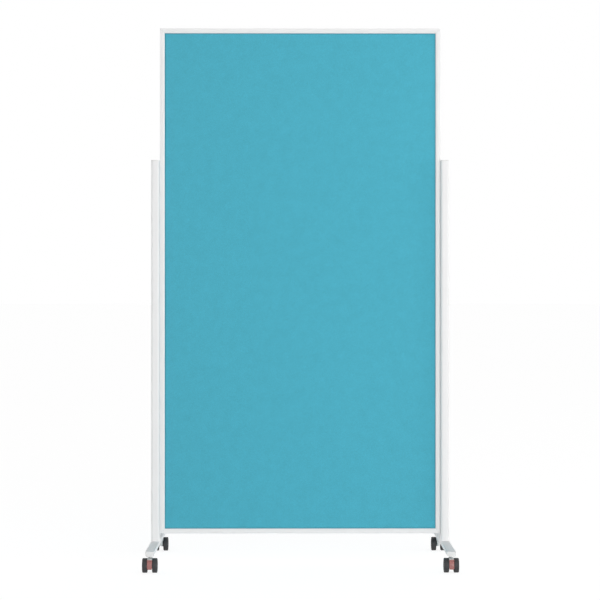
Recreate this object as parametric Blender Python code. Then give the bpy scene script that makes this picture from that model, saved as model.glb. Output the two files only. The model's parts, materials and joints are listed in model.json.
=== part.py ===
"""Mobile pinboard: a framed pin panel held between two posts on castered feet.

Lengths are in metres and +Z is up. The front of the board faces -Y, and the origin
is on the floor, under the middle of the board. Left is -X and right is +X.
"""

import math

import bmesh
import bpy
from mathutils import Vector
from mathutils.geometry import tessellate_polygon

# Fits shared by all pieces
FIT_GAP = 0.0003
CUT_OVERRUN = 0.002
EDGE_SOFTENING = 0.0008

# Board
BOARD_WIDTH = 1.000
BOARD_HEIGHT = 1.800
BOARD_DEPTH = 0.022
BOARD_ABOVE_FLOOR = 0.100

# Frame extrusion, whose face is flat outside and sloped towards the panel
FRAME_FACE = 0.017
FRAME_FLAT = 0.011
FRAME_SLOPE_DROP = 0.0025
FRAME_LIP = 0.001
FRAME_WALL = 0.0015
FRAME_CHAMBER = 0.0065
FRAME_EDGE_RADIUS = 0.001

# Pin panels on both sides of a light core
PANEL_SKIN = 0.003

# Corner connectors in the chamber of the frame
CORNER_LEG = 0.060
CORNER_CHAMFER = 0.002

# Posts
POST_WIDTH = 0.030
POST_DEPTH = 0.060
POST_TOP = 1.430
POST_WALL = 0.002
POST_RADIUS = 0.008
POST_CAP_THICKNESS = 0.003
POST_CAP_SPIGOT = 0.012
POST_CAP_WALL = 0.002
POST_PLUG_HEIGHT = 0.040

# Feet
FOOT_LENGTH = 0.600
FOOT_HEIGHT = 0.018
FOOT_ABOVE_FLOOR = 0.056
FOOT_TOP_RADIUS = 0.0015
FOOT_BOTTOM_RADIUS = 0.006
FOOT_WALL = 0.002
FOOT_END_THICKNESS = 0.004
FOOT_END_SPIGOT = 0.060

# Bolts
BOLT_RADIUS = 0.004
BOLT_HEAD_RADIUS = 0.0065
BOLT_HEAD_HEIGHT = 0.005
BOLT_SOCKET_RADIUS = 0.003
BOLT_SOCKET_DEPTH = 0.003
BOLT_ACCESS_GAP = 0.0015
POST_BOLT_SPACING = 0.032
POST_BOLT_GRIP = 0.016
BOARD_BOLT_ABOVE_EDGE = 0.150
BOARD_BOLT_BELOW_TOP = 0.100
NUT_THICKNESS = 0.005
NUT_WIDTH = 0.016
NUT_LENGTH = 0.050

# Casters
CASTER_FROM_FOOT_END = 0.040
CASTER_TRAIL = 0.020
WHEEL_RADIUS = 0.025
WHEEL_WIDTH = 0.017
WHEEL_SPACE = 0.017
WHEEL_EDGE_RADIUS = 0.0025
WHEEL_RIM = 0.0045
WHEEL_DISC = 0.002
WHEEL_DISH = 0.0022
WHEEL_FACE_RING = 0.004
WHEEL_FACE_SLOPE = 0.0015
WHEEL_DRUM_RADIUS = 0.0093
WHEEL_DRUM_REACH = 0.0035
WHEEL_CAP_RADIUS = 0.007
WHEEL_CAP_RISE = 0.001
WHEEL_AXLE_COVER = 0.0015
AXLE_RADIUS = 0.0025
STEM_RADIUS = 0.005
STEM_PIN_RADIUS = 0.004
STEM_PIN_LENGTH = 0.018
STEM_CHAMFER = 0.001

# Moulded body between a caster's wheels
BODY_CROWN_RADIUS = 0.024
BODY_CROWN_WALL = 0.0095
BODY_HUB_RADIUS = 0.0055
BODY_BACK_EDGE = 0.001
BODY_BOSS_RADIUS = 0.0065
BODY_BOSS_BELOW_AXLE = 0.006

# Brake lever, which turns about the axle in front of the body
LEVER_RADIUS = 0.0245
LEVER_WALL = 0.003
LEVER_CHEEK = 0.0023
LEVER_CHEEK_END_SHARE = 0.75
LEVER_RING_WALL = 0.003
LEVER_TOP_ANGLE = math.radians(46)
LEVER_BOTTOM_ANGLE = math.radians(-30)
LEVER_CORNER = 0.003
LEVER_LEDGE_ANGLE = math.radians(39)
LEVER_LEDGE_ROOT_ANGLE = math.radians(36)
LEVER_LEDGE_RADIUS = 0.0295
LEVER_SNAP_OPENING = 0.009

# Facets of the round forms
SEGMENTS_WHEEL = 24
SEGMENTS_SMALL = 16
SEGMENTS_BOLT = 12
SEGMENTS_CORNER = 3
SMOOTH_ANGLE = math.radians(32)

# Colours as sRGB values, with roughness and metallic
FINISHES = {
    "teal_felt": ((0.318, 0.678, 0.761), 0.90, 0.0),
    "softboard": ((0.720, 0.600, 0.440), 0.95, 0.0),
    "white_coated_aluminium": ((0.925, 0.925, 0.925), 0.40, 0.0),
    "white_coated_steel": ((0.915, 0.915, 0.915), 0.45, 0.0),
    "white_plastic": ((0.900, 0.900, 0.900), 0.50, 0.0),
    "cast_zinc": ((0.560, 0.560, 0.570), 0.55, 1.0),
    "plated_steel": ((0.620, 0.620, 0.630), 0.35, 1.0),
    "pale_grey_plastic": ((0.780, 0.785, 0.780), 0.50, 0.0),
    "black_plastic": ((0.150, 0.150, 0.155), 0.45, 0.0),
    "red_plastic": ((0.740, 0.280, 0.270), 0.40, 0.0),
}

# Places that follow from the sizes above
BOARD_MIDDLE = BOARD_ABOVE_FLOOR + BOARD_HEIGHT / 2
CHANNEL_FLOOR = FRAME_WALL + FRAME_CHAMBER + FRAME_WALL
CHANNEL_HALF = BOARD_DEPTH / 2 - FRAME_SLOPE_DROP - FRAME_LIP
POST_X = BOARD_WIDTH / 2 + FIT_GAP + POST_WIDTH / 2
FOOT_TOP = FOOT_ABOVE_FLOOR + FOOT_HEIGHT
FOOT_WIDTH = POST_WIDTH
FOOT_TUBE_HALF = FOOT_LENGTH / 2 - FOOT_END_THICKNESS - FIT_GAP
STEM_HOLE_RADIUS = STEM_RADIUS + FIT_GAP
POST_BOTTOM = FOOT_TOP + FIT_GAP
POST_TUBE_TOP = POST_TOP - POST_CAP_THICKNESS - FIT_GAP
BOARD_BOLT_HEIGHTS = {
    "lower": BOARD_ABOVE_FLOOR + BOARD_BOLT_ABOVE_EDGE,
    "upper": POST_TOP - BOARD_BOLT_BELOW_TOP,
}
BOLT_HOLE_RADIUS = BOLT_RADIUS + FIT_GAP
BOLT_ACCESS_RADIUS = BOLT_HEAD_RADIUS + BOLT_ACCESS_GAP
STEM_Y = FOOT_LENGTH / 2 - CASTER_FROM_FOOT_END
BODY_HALF = WHEEL_SPACE / 2 - FIT_GAP
WHEEL_MIDDLE = WHEEL_SPACE / 2 + WHEEL_WIDTH / 2
BODY_TOP = BODY_CROWN_RADIUS
CORE_HALF = BODY_HALF - WHEEL_DRUM_REACH
LEVER_RING_RADIUS = BODY_HUB_RADIUS + FIT_GAP
SIDES = {"left": -1, "right": 1}
ENDS = {"front": -1, "rear": 1}


def clear_scene():
    """Remove whatever objects the scene holds."""
    for item in list(bpy.data.objects):
        bpy.data.objects.remove(item, do_unlink=True)


def linear(channel):
    """Turn one sRGB value into the linear value that a shader takes."""
    if channel <= 0.04045:
        return channel / 12.92
    return ((channel + 0.055) / 1.055) ** 2.4


def finish(name):
    """Return the Principled material of that name, made on its first use."""
    found = bpy.data.materials.get(name)
    if found:
        return found
    colour, roughness, metallic = FINISHES[name]
    made = bpy.data.materials.new(name)
    made.use_nodes = True
    shader = made.node_tree.nodes["Principled BSDF"]
    shader.inputs["Base Color"].default_value = [linear(value) for value in colour] + [1]
    shader.inputs["Roughness"].default_value = roughness
    shader.inputs["Metallic"].default_value = metallic
    return made


def to_mesh(bm, name):
    """Close a bmesh into a mesh with its faces pointing out."""
    bmesh.ops.recalc_face_normals(bm, faces=bm.faces)
    mesh = bpy.data.meshes.new(name)
    bm.to_mesh(mesh)
    bm.free()
    return mesh


def place(name, mesh, finish_name, location=(0, 0, 0), rotation=(0, 0, 0), parent=None):
    """Put a mesh into the scene as one named piece with its finish."""
    piece = bpy.data.objects.new(name, mesh)
    bpy.context.scene.collection.objects.link(piece)
    if not mesh.materials:
        mesh.materials.append(finish(finish_name))
    mesh.shade_smooth()
    mesh.set_sharp_from_angle(angle=SMOOTH_ANGLE)
    piece.location = location
    piece.rotation_euler = rotation
    piece.parent = parent
    return piece


def combined(name, base, joined=(), cut=()):
    """Return one mesh: base with some meshes joined to it and others cut from it."""
    body = bpy.data.objects.new(name, base)
    bpy.context.scene.collection.objects.link(body)
    tools = []
    for operation, meshes in (("UNION", joined), ("DIFFERENCE", cut)):
        for mesh in meshes:
            tool = bpy.data.objects.new(mesh.name, mesh)
            bpy.context.scene.collection.objects.link(tool)
            modifier = body.modifiers.new(operation.title(), "BOOLEAN")
            modifier.operation = operation
            modifier.solver = "EXACT"
            modifier.object = tool
            tools.append(tool)
    bpy.context.view_layer.update()
    graph = bpy.context.evaluated_depsgraph_get()
    result = bpy.data.meshes.new_from_object(body.evaluated_get(graph))
    for item in [body] + tools:
        mesh = item.data
        bpy.data.objects.remove(item, do_unlink=True)
        bpy.data.meshes.remove(mesh)
    result.name = name
    return result


def add_wall(bm, first, second):
    """Join two rings of the same number of points with a band of faces."""
    for index in range(len(first)):
        following = (index + 1) % len(first)
        bm.faces.new((first[index], first[following], second[following], second[index]))


def loft(name, rings):
    """Skin a closed body through rings with the same number of points each."""
    bm = bmesh.new()
    placed = [[bm.verts.new(point) for point in ring] for ring in rings]
    for first, second in zip(placed, placed[1:]):
        add_wall(bm, first, second)
    bm.faces.new(placed[0])
    bm.faces.new(placed[-1])
    return to_mesh(bm, name)


def pipe(name, outer, inner):
    """Skin an open-ended tube from its outer and inner pairs of rings."""
    bm = bmesh.new()
    outer_start, outer_end = [[bm.verts.new(point) for point in ring] for ring in outer]
    inner_start, inner_end = [[bm.verts.new(point) for point in ring] for ring in inner]
    add_wall(bm, outer_start, outer_end)
    add_wall(bm, inner_start, inner_end)
    add_wall(bm, outer_start, inner_start)
    add_wall(bm, outer_end, inner_end)
    return to_mesh(bm, name)


def prism(name, outlines, start, end):
    """Extrude flat outlines, the holes included, between two places for each point."""
    bm = bmesh.new()
    ends = []
    for place_point in (start, end):
        ends.append([[bm.verts.new(place_point(*point)) for point in line] for line in outlines])
    for first, second in zip(*ends):
        add_wall(bm, first, second)
    flat = [[Vector((point[0], point[1], 0)) for point in line] for line in outlines]
    triangles = tessellate_polygon(flat)
    for lines in ends:
        points = [vertex for line in lines for vertex in line]
        for triangle in triangles:
            bm.faces.new([points[index] for index in triangle])
    return to_mesh(bm, name)


def turned(name, profile, segments, to_point):
    """Turn a profile of (along, radius) points round its axis, from pole to pole."""
    bm = bmesh.new()
    rings = []
    for along, radius in profile:
        if radius == 0:
            rings.append([bm.verts.new(to_point(along, 0, 0))])
            continue
        ring = []
        for step in range(segments):
            angle = math.tau * step / segments
            across = radius * math.cos(angle)
            up = radius * math.sin(angle)
            ring.append(bm.verts.new(to_point(along, across, up)))
        rings.append(ring)
    for first, second in zip(rings, rings[1:]):
        if len(first) == 1 or len(second) == 1:
            pole, ring = (first[0], second) if len(first) == 1 else (second[0], first)
            for index in range(segments):
                bm.faces.new((pole, ring[index], ring[(index + 1) % segments]))
        else:
            add_wall(bm, first, second)
    return to_mesh(bm, name)


def along_x(along, across, up):
    """Lay a turned profile's axis along X."""
    return (along, across, up)


def along_z(along, across, up):
    """Stand a turned profile's axis along Z."""
    return (across, up, along)


def rod(name, radius, start, end, to_point, centre=(0, 0, 0), segments=SEGMENTS_SMALL):
    """Return a plain cylinder from start to end along its axis."""
    rings = []
    for along in (start, end):
        ring = []
        for step in range(segments):
            angle = math.tau * step / segments
            point = to_point(along, radius * math.cos(angle), radius * math.sin(angle))
            ring.append(Vector(point) + Vector(centre))
        rings.append(ring)
    return loft(name, rings)


def arc(centre, radius, start, end, segments):
    """Return points on an arc, both ends included."""
    points = []
    for step in range(segments + 1):
        angle = start + (end - start) * step / segments
        points.append((centre[0] + radius * math.cos(angle), centre[1] + radius * math.sin(angle)))
    return points


def rounded_outline(width, height, top_radius, bottom_radius):
    """Return a rectangle about the origin whose corners are arcs, from the lower right."""
    quarter = math.pi / 2
    points = []
    corners = (
        (1, -1, bottom_radius, -quarter),
        (1, 1, top_radius, 0),
        (-1, 1, top_radius, quarter),
        (-1, -1, bottom_radius, 2 * quarter),
    )
    for right, up, radius, start in corners:
        centre = (right * (width / 2 - radius), up * (height / 2 - radius))
        points += arc(centre, radius, start, start + quarter, SEGMENTS_CORNER)
    return points


def frame_outline():
    """Return the frame's section as (inward, depth) points: its outside, then its chamber."""
    half = BOARD_DEPTH / 2
    turn = math.pi / 2
    edge = FRAME_EDGE_RADIUS
    outside = arc((edge, half - edge), edge, 2 * turn, turn, SEGMENTS_CORNER)
    outside += [
        (FRAME_FLAT, half),
        (FRAME_FACE, half - FRAME_SLOPE_DROP),
        (FRAME_FACE, CHANNEL_HALF),
        (CHANNEL_FLOOR, CHANNEL_HALF),
    ]
    outside += [(inward, -depth) for inward, depth in reversed(outside)]
    chamber_end = FRAME_WALL + FRAME_CHAMBER
    chamber_half = half - FRAME_WALL
    chamber = [
        (FRAME_WALL, -chamber_half),
        (FRAME_WALL, chamber_half),
        (chamber_end, chamber_half),
        (chamber_end, -chamber_half),
    ]
    return [outside, chamber]


def frame_rail(name, length):
    """Return a mitred length of the frame, lying along X with its outer edge at Z 0."""
    mitre_gap = FIT_GAP / math.sqrt(2)

    def at(sign):
        def place_point(inward, depth):
            return (sign * (length / 2 - inward - mitre_gap), depth, -inward)
        return place_point

    return prism(name, frame_outline(), at(-1), at(1))


def frame_rails():
    """Make the two rails of the frame."""
    top = (0, 0, BOARD_ABOVE_FLOOR + BOARD_HEIGHT)
    bottom = (0, 0, BOARD_ABOVE_FLOOR)
    mesh = frame_rail("frame_rail", BOARD_WIDTH)
    place("frame_top_rail", mesh, "white_coated_aluminium", top)
    place("frame_bottom_rail", mesh, "white_coated_aluminium", bottom, (0, math.pi, 0))


def frame_stiles():
    """Make the two stiles, with holes in their outer wall for the board bolts."""
    for side, sign in SIDES.items():
        holes = []
        for height in BOARD_BOLT_HEIGHTS.values():
            centre = (-sign * (height - BOARD_MIDDLE), 0, 0)
            reach = FRAME_WALL + CUT_OVERRUN
            holes.append(rod("bolt_hole", BOLT_HOLE_RADIUS, -reach, CUT_OVERRUN, along_z, centre))
        rail = frame_rail("stile_section", BOARD_HEIGHT)
        mesh = combined("frame_stile_" + side, rail, cut=holes)
        location = (sign * BOARD_WIDTH / 2, 0, BOARD_MIDDLE)
        rotation = (0, sign * math.pi / 2, 0)
        place("frame_" + side + "_stile", mesh, "white_coated_aluminium", location, rotation)


def block(name, size):
    """Return a box about the origin."""
    bm = bmesh.new()
    bmesh.ops.create_cube(bm, size=1)
    bmesh.ops.scale(bm, vec=size, verts=bm.verts)
    return to_mesh(bm, name)


def panels():
    """Make the core and the two pin panels that the frame's channel holds."""
    edge = CHANNEL_FLOOR + FIT_GAP
    width = BOARD_WIDTH - 2 * edge
    height = BOARD_HEIGHT - 2 * edge
    skin_middle = CHANNEL_HALF - FIT_GAP - PANEL_SKIN / 2
    core_depth = 2 * (skin_middle - PANEL_SKIN / 2 - FIT_GAP)
    skin = block("pin_panel", (width, PANEL_SKIN, height))
    place("pin_panel_front", skin, "teal_felt", (0, -skin_middle, BOARD_MIDDLE))
    place("pin_panel_rear", skin, "teal_felt", (0, skin_middle, BOARD_MIDDLE))
    core = block("panel_core", (width, core_depth, height))
    place("panel_core", core, "softboard", (0, 0, BOARD_MIDDLE))


def corner_connectors():
    """Make the angle piece that joins two mitred lengths inside their chambers."""
    near = FRAME_WALL + FIT_GAP
    far = FRAME_WALL + FRAME_CHAMBER - FIT_GAP
    half = BOARD_DEPTH / 2 - FRAME_WALL - FIT_GAP
    taper = CORNER_CHAMFER
    outline = [
        (near, near),
        (CORNER_LEG - taper, near),
        (CORNER_LEG, near + taper),
        (CORNER_LEG, far),
        (far, far),
        (far, CORNER_LEG),
        (near + taper, CORNER_LEG),
        (near, CORNER_LEG - taper),
    ]
    mesh = prism("frame_corner", [outline], lambda x, z: (x, -half, z), lambda x, z: (x, half, z))
    right = BOARD_WIDTH / 2
    top = BOARD_ABOVE_FLOOR + BOARD_HEIGHT
    corners = {
        "bottom_left": ((-right, 0, BOARD_ABOVE_FLOOR), 0),
        "top_left": ((-right, 0, top), 1),
        "top_right": ((right, 0, top), 2),
        "bottom_right": ((right, 0, BOARD_ABOVE_FLOOR), 3),
    }
    for corner, (location, quarters) in corners.items():
        rotation = (0, quarters * math.pi / 2, 0)
        place("frame_corner_" + corner, mesh, "cast_zinc", location, rotation)


def bolt(name, grip):
    """Return a socket-head bolt standing on Z, its head's seat at 0 and its grip above."""
    socket_floor = BOLT_SOCKET_DEPTH - BOLT_HEAD_HEIGHT
    profile = [
        (socket_floor, 0),
        (socket_floor, BOLT_SOCKET_RADIUS),
        (-BOLT_HEAD_HEIGHT, BOLT_SOCKET_RADIUS),
        (-BOLT_HEAD_HEIGHT, BOLT_HEAD_RADIUS),
        (0, BOLT_HEAD_RADIUS),
        (0, BOLT_RADIUS),
        (grip, BOLT_RADIUS),
        (grip, 0),
    ]
    return turned(name, profile, SEGMENTS_BOLT, along_z)


def board_bolts():
    """Make the bolts from each post into the stile, and the nut plates in its chamber."""
    seat = BOARD_WIDTH / 2 + FIT_GAP + POST_WALL + FIT_GAP
    nut_face = FRAME_WALL + FIT_GAP
    grip = seat - BOARD_WIDTH / 2 + nut_face + NUT_THICKNESS
    mesh = bolt("board_bolt", grip)
    plate = block("board_nut", (NUT_LENGTH, NUT_WIDTH, NUT_THICKNESS))
    reach = NUT_THICKNESS / 2 + CUT_OVERRUN
    hole = rod("nut_hole", BOLT_HOLE_RADIUS, -reach, reach, along_z)
    plate = combined("board_nut", plate, cut=[hole])
    nut_x = BOARD_WIDTH / 2 - nut_face - NUT_THICKNESS / 2
    for side, sign in SIDES.items():
        for level, height in BOARD_BOLT_HEIGHTS.items():
            label = side + "_" + level
            turn = (0, -sign * math.pi / 2, 0)
            place("board_bolt_" + label, mesh, "plated_steel", (sign * seat, 0, height), turn)
            place("board_nut_" + label, plate, "plated_steel", (sign * nut_x, 0, height), turn)


def post_ring(inset, height):
    """Return the post's outline, drawn in by inset, at a height."""
    width = POST_WIDTH - 2 * inset
    depth = POST_DEPTH - 2 * inset
    radius = POST_RADIUS - inset
    return [(x, y, height) for x, y in rounded_outline(width, depth, radius, radius)]


def posts():
    """Make the two hollow posts, bored for the board bolts and for reaching their heads."""
    for side, sign in SIDES.items():
        outer = [post_ring(0, POST_BOTTOM), post_ring(0, POST_TUBE_TOP)]
        inner = [post_ring(POST_WALL, POST_BOTTOM), post_ring(POST_WALL, POST_TUBE_TOP)]
        tube = pipe("post_tube", outer, inner)
        face = POST_WIDTH / 2
        reach = face + CUT_OVERRUN
        depth = face - POST_WALL - CUT_OVERRUN
        holes = []
        for height in BOARD_BOLT_HEIGHTS.values():
            centre = (0, 0, height)
            inside = sorted((-sign * depth, -sign * reach))
            outside = sorted((sign * depth, sign * reach))
            holes.append(rod("bolt_hole", BOLT_HOLE_RADIUS, *inside, along_x, centre))
            holes.append(rod("access_hole", BOLT_ACCESS_RADIUS, *outside, along_x, centre))
        mesh = combined("post_" + side, tube, cut=holes)
        place("post_" + side, mesh, "white_coated_aluminium", (sign * POST_X, 0, 0))


def post_caps():
    """Make the caps that close the posts, each with a hollow spigot inside the tube."""
    spigot = POST_WALL + FIT_GAP
    pocket = spigot + POST_CAP_WALL
    spigot_end = POST_TUBE_TOP - POST_CAP_SPIGOT
    under = POST_TOP - POST_CAP_THICKNESS
    rings = [
        post_ring(pocket, under),
        post_ring(pocket, spigot_end),
        post_ring(spigot, spigot_end),
        post_ring(spigot, under),
        post_ring(0, under),
        post_ring(0, POST_TOP - EDGE_SOFTENING),
        post_ring(EDGE_SOFTENING, POST_TOP),
    ]
    mesh = loft("post_cap", rings)
    for side, sign in SIDES.items():
        place("post_cap_" + side, mesh, "white_plastic", (sign * POST_X, 0, 0))


def post_bolt_places():
    """Return the places along Y of the two bolts that hold a post."""
    return {end: sign * POST_BOLT_SPACING / 2 for end, sign in ENDS.items()}


def post_plugs():
    """Make the cast plugs in the posts' lower ends, bored for the bolts from the foot."""
    inset = POST_WALL + FIT_GAP
    top = POST_BOTTOM + POST_PLUG_HEIGHT
    rings = [
        post_ring(inset, POST_BOTTOM),
        post_ring(inset, top - EDGE_SOFTENING),
        post_ring(inset + EDGE_SOFTENING, top),
    ]
    holes = []
    for y in post_bolt_places().values():
        start = POST_BOTTOM - CUT_OVERRUN
        end = POST_BOTTOM + POST_BOLT_GRIP + FIT_GAP
        holes.append(rod("plug_hole", BOLT_HOLE_RADIUS, start, end, along_z, (0, y, 0)))
    mesh = combined("post_plug", loft("plug_block", rings), cut=holes)
    for side, sign in SIDES.items():
        place("post_plug_" + side, mesh, "cast_zinc", (sign * POST_X, 0, 0))


def post_bolts():
    """Make the bolts that clamp each foot to its post."""
    seat = FOOT_TOP - FOOT_WALL - FIT_GAP
    mesh = bolt("post_bolt", POST_BOTTOM + POST_BOLT_GRIP - seat)
    for side, sign in SIDES.items():
        for end, y in post_bolt_places().items():
            name = "post_bolt_" + side + "_" + end
            place(name, mesh, "plated_steel", (sign * POST_X, y, seat))


def foot_ring(inset, y):
    """Return the foot's outline, drawn in by inset, at a place along Y."""
    middle = FOOT_ABOVE_FLOOR + FOOT_HEIGHT / 2
    top_radius = max(FOOT_TOP_RADIUS - inset, EDGE_SOFTENING)
    bottom_radius = max(FOOT_BOTTOM_RADIUS - inset, EDGE_SOFTENING)
    width = FOOT_WIDTH - 2 * inset
    outline = rounded_outline(width, FOOT_HEIGHT - 2 * inset, top_radius, bottom_radius)
    return [(x, y, middle + z) for x, z in outline]


def feet():
    """Make the two foot tubes, bored for the post bolts and the casters' stems."""
    outer = [foot_ring(0, -FOOT_TUBE_HALF), foot_ring(0, FOOT_TUBE_HALF)]
    inner = [foot_ring(FOOT_WALL, -FOOT_TUBE_HALF), foot_ring(FOOT_WALL, FOOT_TUBE_HALF)]
    below = FOOT_ABOVE_FLOOR - CUT_OVERRUN
    above = FOOT_ABOVE_FLOOR + FOOT_WALL + CUT_OVERRUN
    holes = []
    for y in post_bolt_places().values():
        start = FOOT_TOP - FOOT_WALL - CUT_OVERRUN
        end = FOOT_TOP + CUT_OVERRUN
        holes.append(rod("bolt_hole", BOLT_HOLE_RADIUS, start, end, along_z, (0, y, 0)))
        holes.append(rod("access_hole", BOLT_ACCESS_RADIUS, below, above, along_z, (0, y, 0)))
    for sign in ENDS.values():
        centre = (0, sign * STEM_Y, 0)
        holes.append(rod("stem_hole", STEM_HOLE_RADIUS, below, above, along_z, centre))
    mesh = combined("foot", pipe("foot_tube", outer, inner), cut=holes)
    for side, sign in SIDES.items():
        place("foot_" + side, mesh, "white_coated_steel", (sign * POST_X, 0, 0))


def foot_ends():
    """Make the inserts that close a foot's ends and hold the casters' stems."""
    half = FOOT_LENGTH / 2
    shoulder = half - FOOT_END_THICKNESS
    spigot_end = shoulder - FOOT_END_SPIGOT
    spigot = FOOT_WALL + FIT_GAP
    rings = [
        foot_ring(EDGE_SOFTENING, half),
        foot_ring(0, half - EDGE_SOFTENING),
        foot_ring(0, shoulder),
        foot_ring(spigot, shoulder),
        foot_ring(spigot, spigot_end + EDGE_SOFTENING),
        foot_ring(spigot + EDGE_SOFTENING, spigot_end),
    ]
    start = FOOT_ABOVE_FLOOR - CUT_OVERRUN
    end = FOOT_TOP + CUT_OVERRUN
    hole = rod("insert_hole", STEM_HOLE_RADIUS, start, end, along_z, (0, STEM_Y, 0))
    mesh = combined("foot_end", loft("foot_insert", rings), cut=[hole])
    for side, side_sign in SIDES.items():
        for end_name, end_sign in ENDS.items():
            name = "foot_end_" + side + "_" + end_name
            turn = 0 if end_sign > 0 else math.pi
            place(name, mesh, "white_plastic", (side_sign * POST_X, 0, 0), (0, 0, turn))


def stem_mesh():
    """Return a caster's stem, stepped down to the pin that the body turns on."""
    seat = BODY_TOP + FIT_GAP
    foot_hollow = FOOT_TOP - FOOT_WALL - FIT_GAP - WHEEL_RADIUS
    pin_end = seat - STEM_PIN_LENGTH
    profile = [
        (pin_end, 0),
        (pin_end, STEM_PIN_RADIUS - STEM_CHAMFER),
        (pin_end + STEM_CHAMFER, STEM_PIN_RADIUS),
        (seat, STEM_PIN_RADIUS),
        (seat, STEM_RADIUS),
        (foot_hollow - STEM_CHAMFER, STEM_RADIUS),
        (foot_hollow, STEM_RADIUS - STEM_CHAMFER),
        (foot_hollow, 0),
    ]
    return turned("caster_stem", profile, SEGMENTS_SMALL, along_z)


def extruded_side(name, outline, left, right):
    """Extrude an outline of (Y, Z) points along X."""
    return prism(name, [outline], lambda y, z: (left, y, z), lambda y, z: (right, y, z))


def crown_mesh():
    """Return the crown over the wheels, curved in front and rounded behind the stem."""
    inner_radius = BODY_CROWN_RADIUS - BODY_CROWN_WALL
    quarter = math.pi / 2
    start = LEVER_TOP_ANGLE + FIT_GAP / inner_radius
    back = -BODY_HALF - CASTER_TRAIL
    outline = arc((0, 0), BODY_CROWN_RADIUS, start, quarter, SEGMENTS_CORNER)
    outline += [(back, BODY_TOP), (back, inner_radius)]
    outline += arc((0, 0), inner_radius, quarter, start, SEGMENTS_CORNER)
    bm = bmesh.new()
    bm.from_mesh(extruded_side("crown", outline, -BODY_HALF, BODY_HALF))
    behind = [edge for edge in bm.edges if all(vertex.co.y < back + FIT_GAP for vertex in edge.verts)]
    upright = [edge for edge in behind if abs(edge.verts[0].co.z - edge.verts[1].co.z) > FIT_GAP]
    corner = BODY_HALF - BODY_BACK_EDGE
    bmesh.ops.bevel(bm, geom=upright, offset=corner, segments=SEGMENTS_CORNER, profile=0.5, affect="EDGES")
    return to_mesh(bm, "crown")


def web_mesh():
    """Return the web that ties the hub sleeve to the crown above and the boss behind."""
    half = CORE_HALF - LEVER_CHEEK - FIT_GAP
    foot = (BODY_HUB_RADIUS + AXLE_RADIUS + FIT_GAP) / 2
    head = BODY_CROWN_RADIUS - BODY_CROWN_WALL / 2
    quarter = math.pi / 2
    start = LEVER_TOP_ANGLE + FIT_GAP / foot
    outline = arc((0, 0), head, start, quarter, SEGMENTS_CORNER)
    outline += [(-CASTER_TRAIL, head), (-CASTER_TRAIL, -foot)]
    outline += arc((0, 0), foot, -quarter, start, 2 * SEGMENTS_CORNER)
    return extruded_side("web", outline, -half, half)


def body_mesh():
    """Return the moulded body: crown, boss, web and the hub sleeve that the axle runs in."""
    hub = rod("hub", BODY_HUB_RADIUS, -CORE_HALF, CORE_HALF, along_x)
    stem_centre = (0, -CASTER_TRAIL, 0)
    boss_top = BODY_TOP - BODY_CROWN_WALL / 2
    boss = rod("boss", BODY_BOSS_RADIUS, -BODY_BOSS_BELOW_AXLE, boss_top, along_z, stem_centre)
    reach = BODY_HALF + CUT_OVERRUN
    axle_hole = rod("axle_hole", AXLE_RADIUS + FIT_GAP, -reach, reach, along_x)
    stem_floor = BODY_TOP - STEM_PIN_LENGTH
    hole_radius = STEM_PIN_RADIUS + FIT_GAP
    stem_hole = rod("pin_hole", hole_radius, stem_floor, BODY_TOP + CUT_OVERRUN, along_z, stem_centre)
    joined = [boss, web_mesh(), hub]
    return combined("caster_body", crown_mesh(), joined=joined, cut=[axle_hole, stem_hole])


def lever_pad():
    """Return the lever's curved pad, with a toe ledge above and rounded corners below."""
    inner = LEVER_RADIUS - LEVER_WALL
    corner_angle = LEVER_CORNER / LEVER_RADIUS
    fall = LEVER_BOTTOM_ANGLE + corner_angle - LEVER_LEDGE_ROOT_ANGLE
    count = 2 * SEGMENTS_CORNER
    steps = [(angle, LEVER_LEDGE_RADIUS, BODY_HALF) for angle in (LEVER_TOP_ANGLE, LEVER_LEDGE_ANGLE)]
    for step in range(count):
        steps.append((LEVER_LEDGE_ROOT_ANGLE + fall * step / count, LEVER_RADIUS, BODY_HALF))
    for across, down in arc((0, 0), LEVER_CORNER, 0, math.pi / 2, SEGMENTS_CORNER):
        angle = LEVER_BOTTOM_ANGLE + corner_angle - down / LEVER_RADIUS
        steps.append((angle, LEVER_RADIUS, BODY_HALF - LEVER_CORNER + across))
    rings = []
    for angle, outer, half in steps:
        corners = [(-half, inner), (half, inner), (half, outer), (-half, outer)]
        ring = [(x, radius * math.cos(angle), radius * math.sin(angle)) for x, radius in corners]
        rings.append(ring)
    return loft("lever_pad", rings)


def lever_cheek(sign):
    """Return one side cheek of the lever, a fan from its snap ring to its pad."""
    ring = LEVER_RING_RADIUS + LEVER_RING_WALL
    fan = LEVER_RADIUS - LEVER_WALL / 2
    lower = LEVER_BOTTOM_ANGLE + LEVER_CHEEK_END_SHARE * LEVER_CORNER / LEVER_RADIUS
    outline = arc((0, 0), fan, lower, LEVER_TOP_ANGLE, 2 * SEGMENTS_CORNER)
    outline += arc((0, 0), ring, LEVER_TOP_ANGLE, lower + math.tau, 3 * SEGMENTS_CORNER)
    faces = sorted((sign * CORE_HALF, sign * (CORE_HALF - LEVER_CHEEK)))
    return extruded_side("lever_cheek", outline, *faces)


def lever_mesh():
    """Return the brake lever: pad and two cheeks, which snap over the hub sleeve."""
    reach = BODY_HALF + CUT_OVERRUN
    ring_hole = rod("ring_hole", LEVER_RING_RADIUS, -reach, reach, along_x)
    snap_depth = LEVER_RING_RADIUS + LEVER_RING_WALL + CUT_OVERRUN
    snap = block("snap_opening", (2 * reach, snap_depth, LEVER_SNAP_OPENING))
    for vertex in snap.vertices:
        vertex.co.y -= snap_depth / 2
    joined = [lever_cheek(1), lever_cheek(-1)]
    return combined("brake_lever", lever_pad(), joined=joined, cut=[ring_hole, snap])


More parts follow.
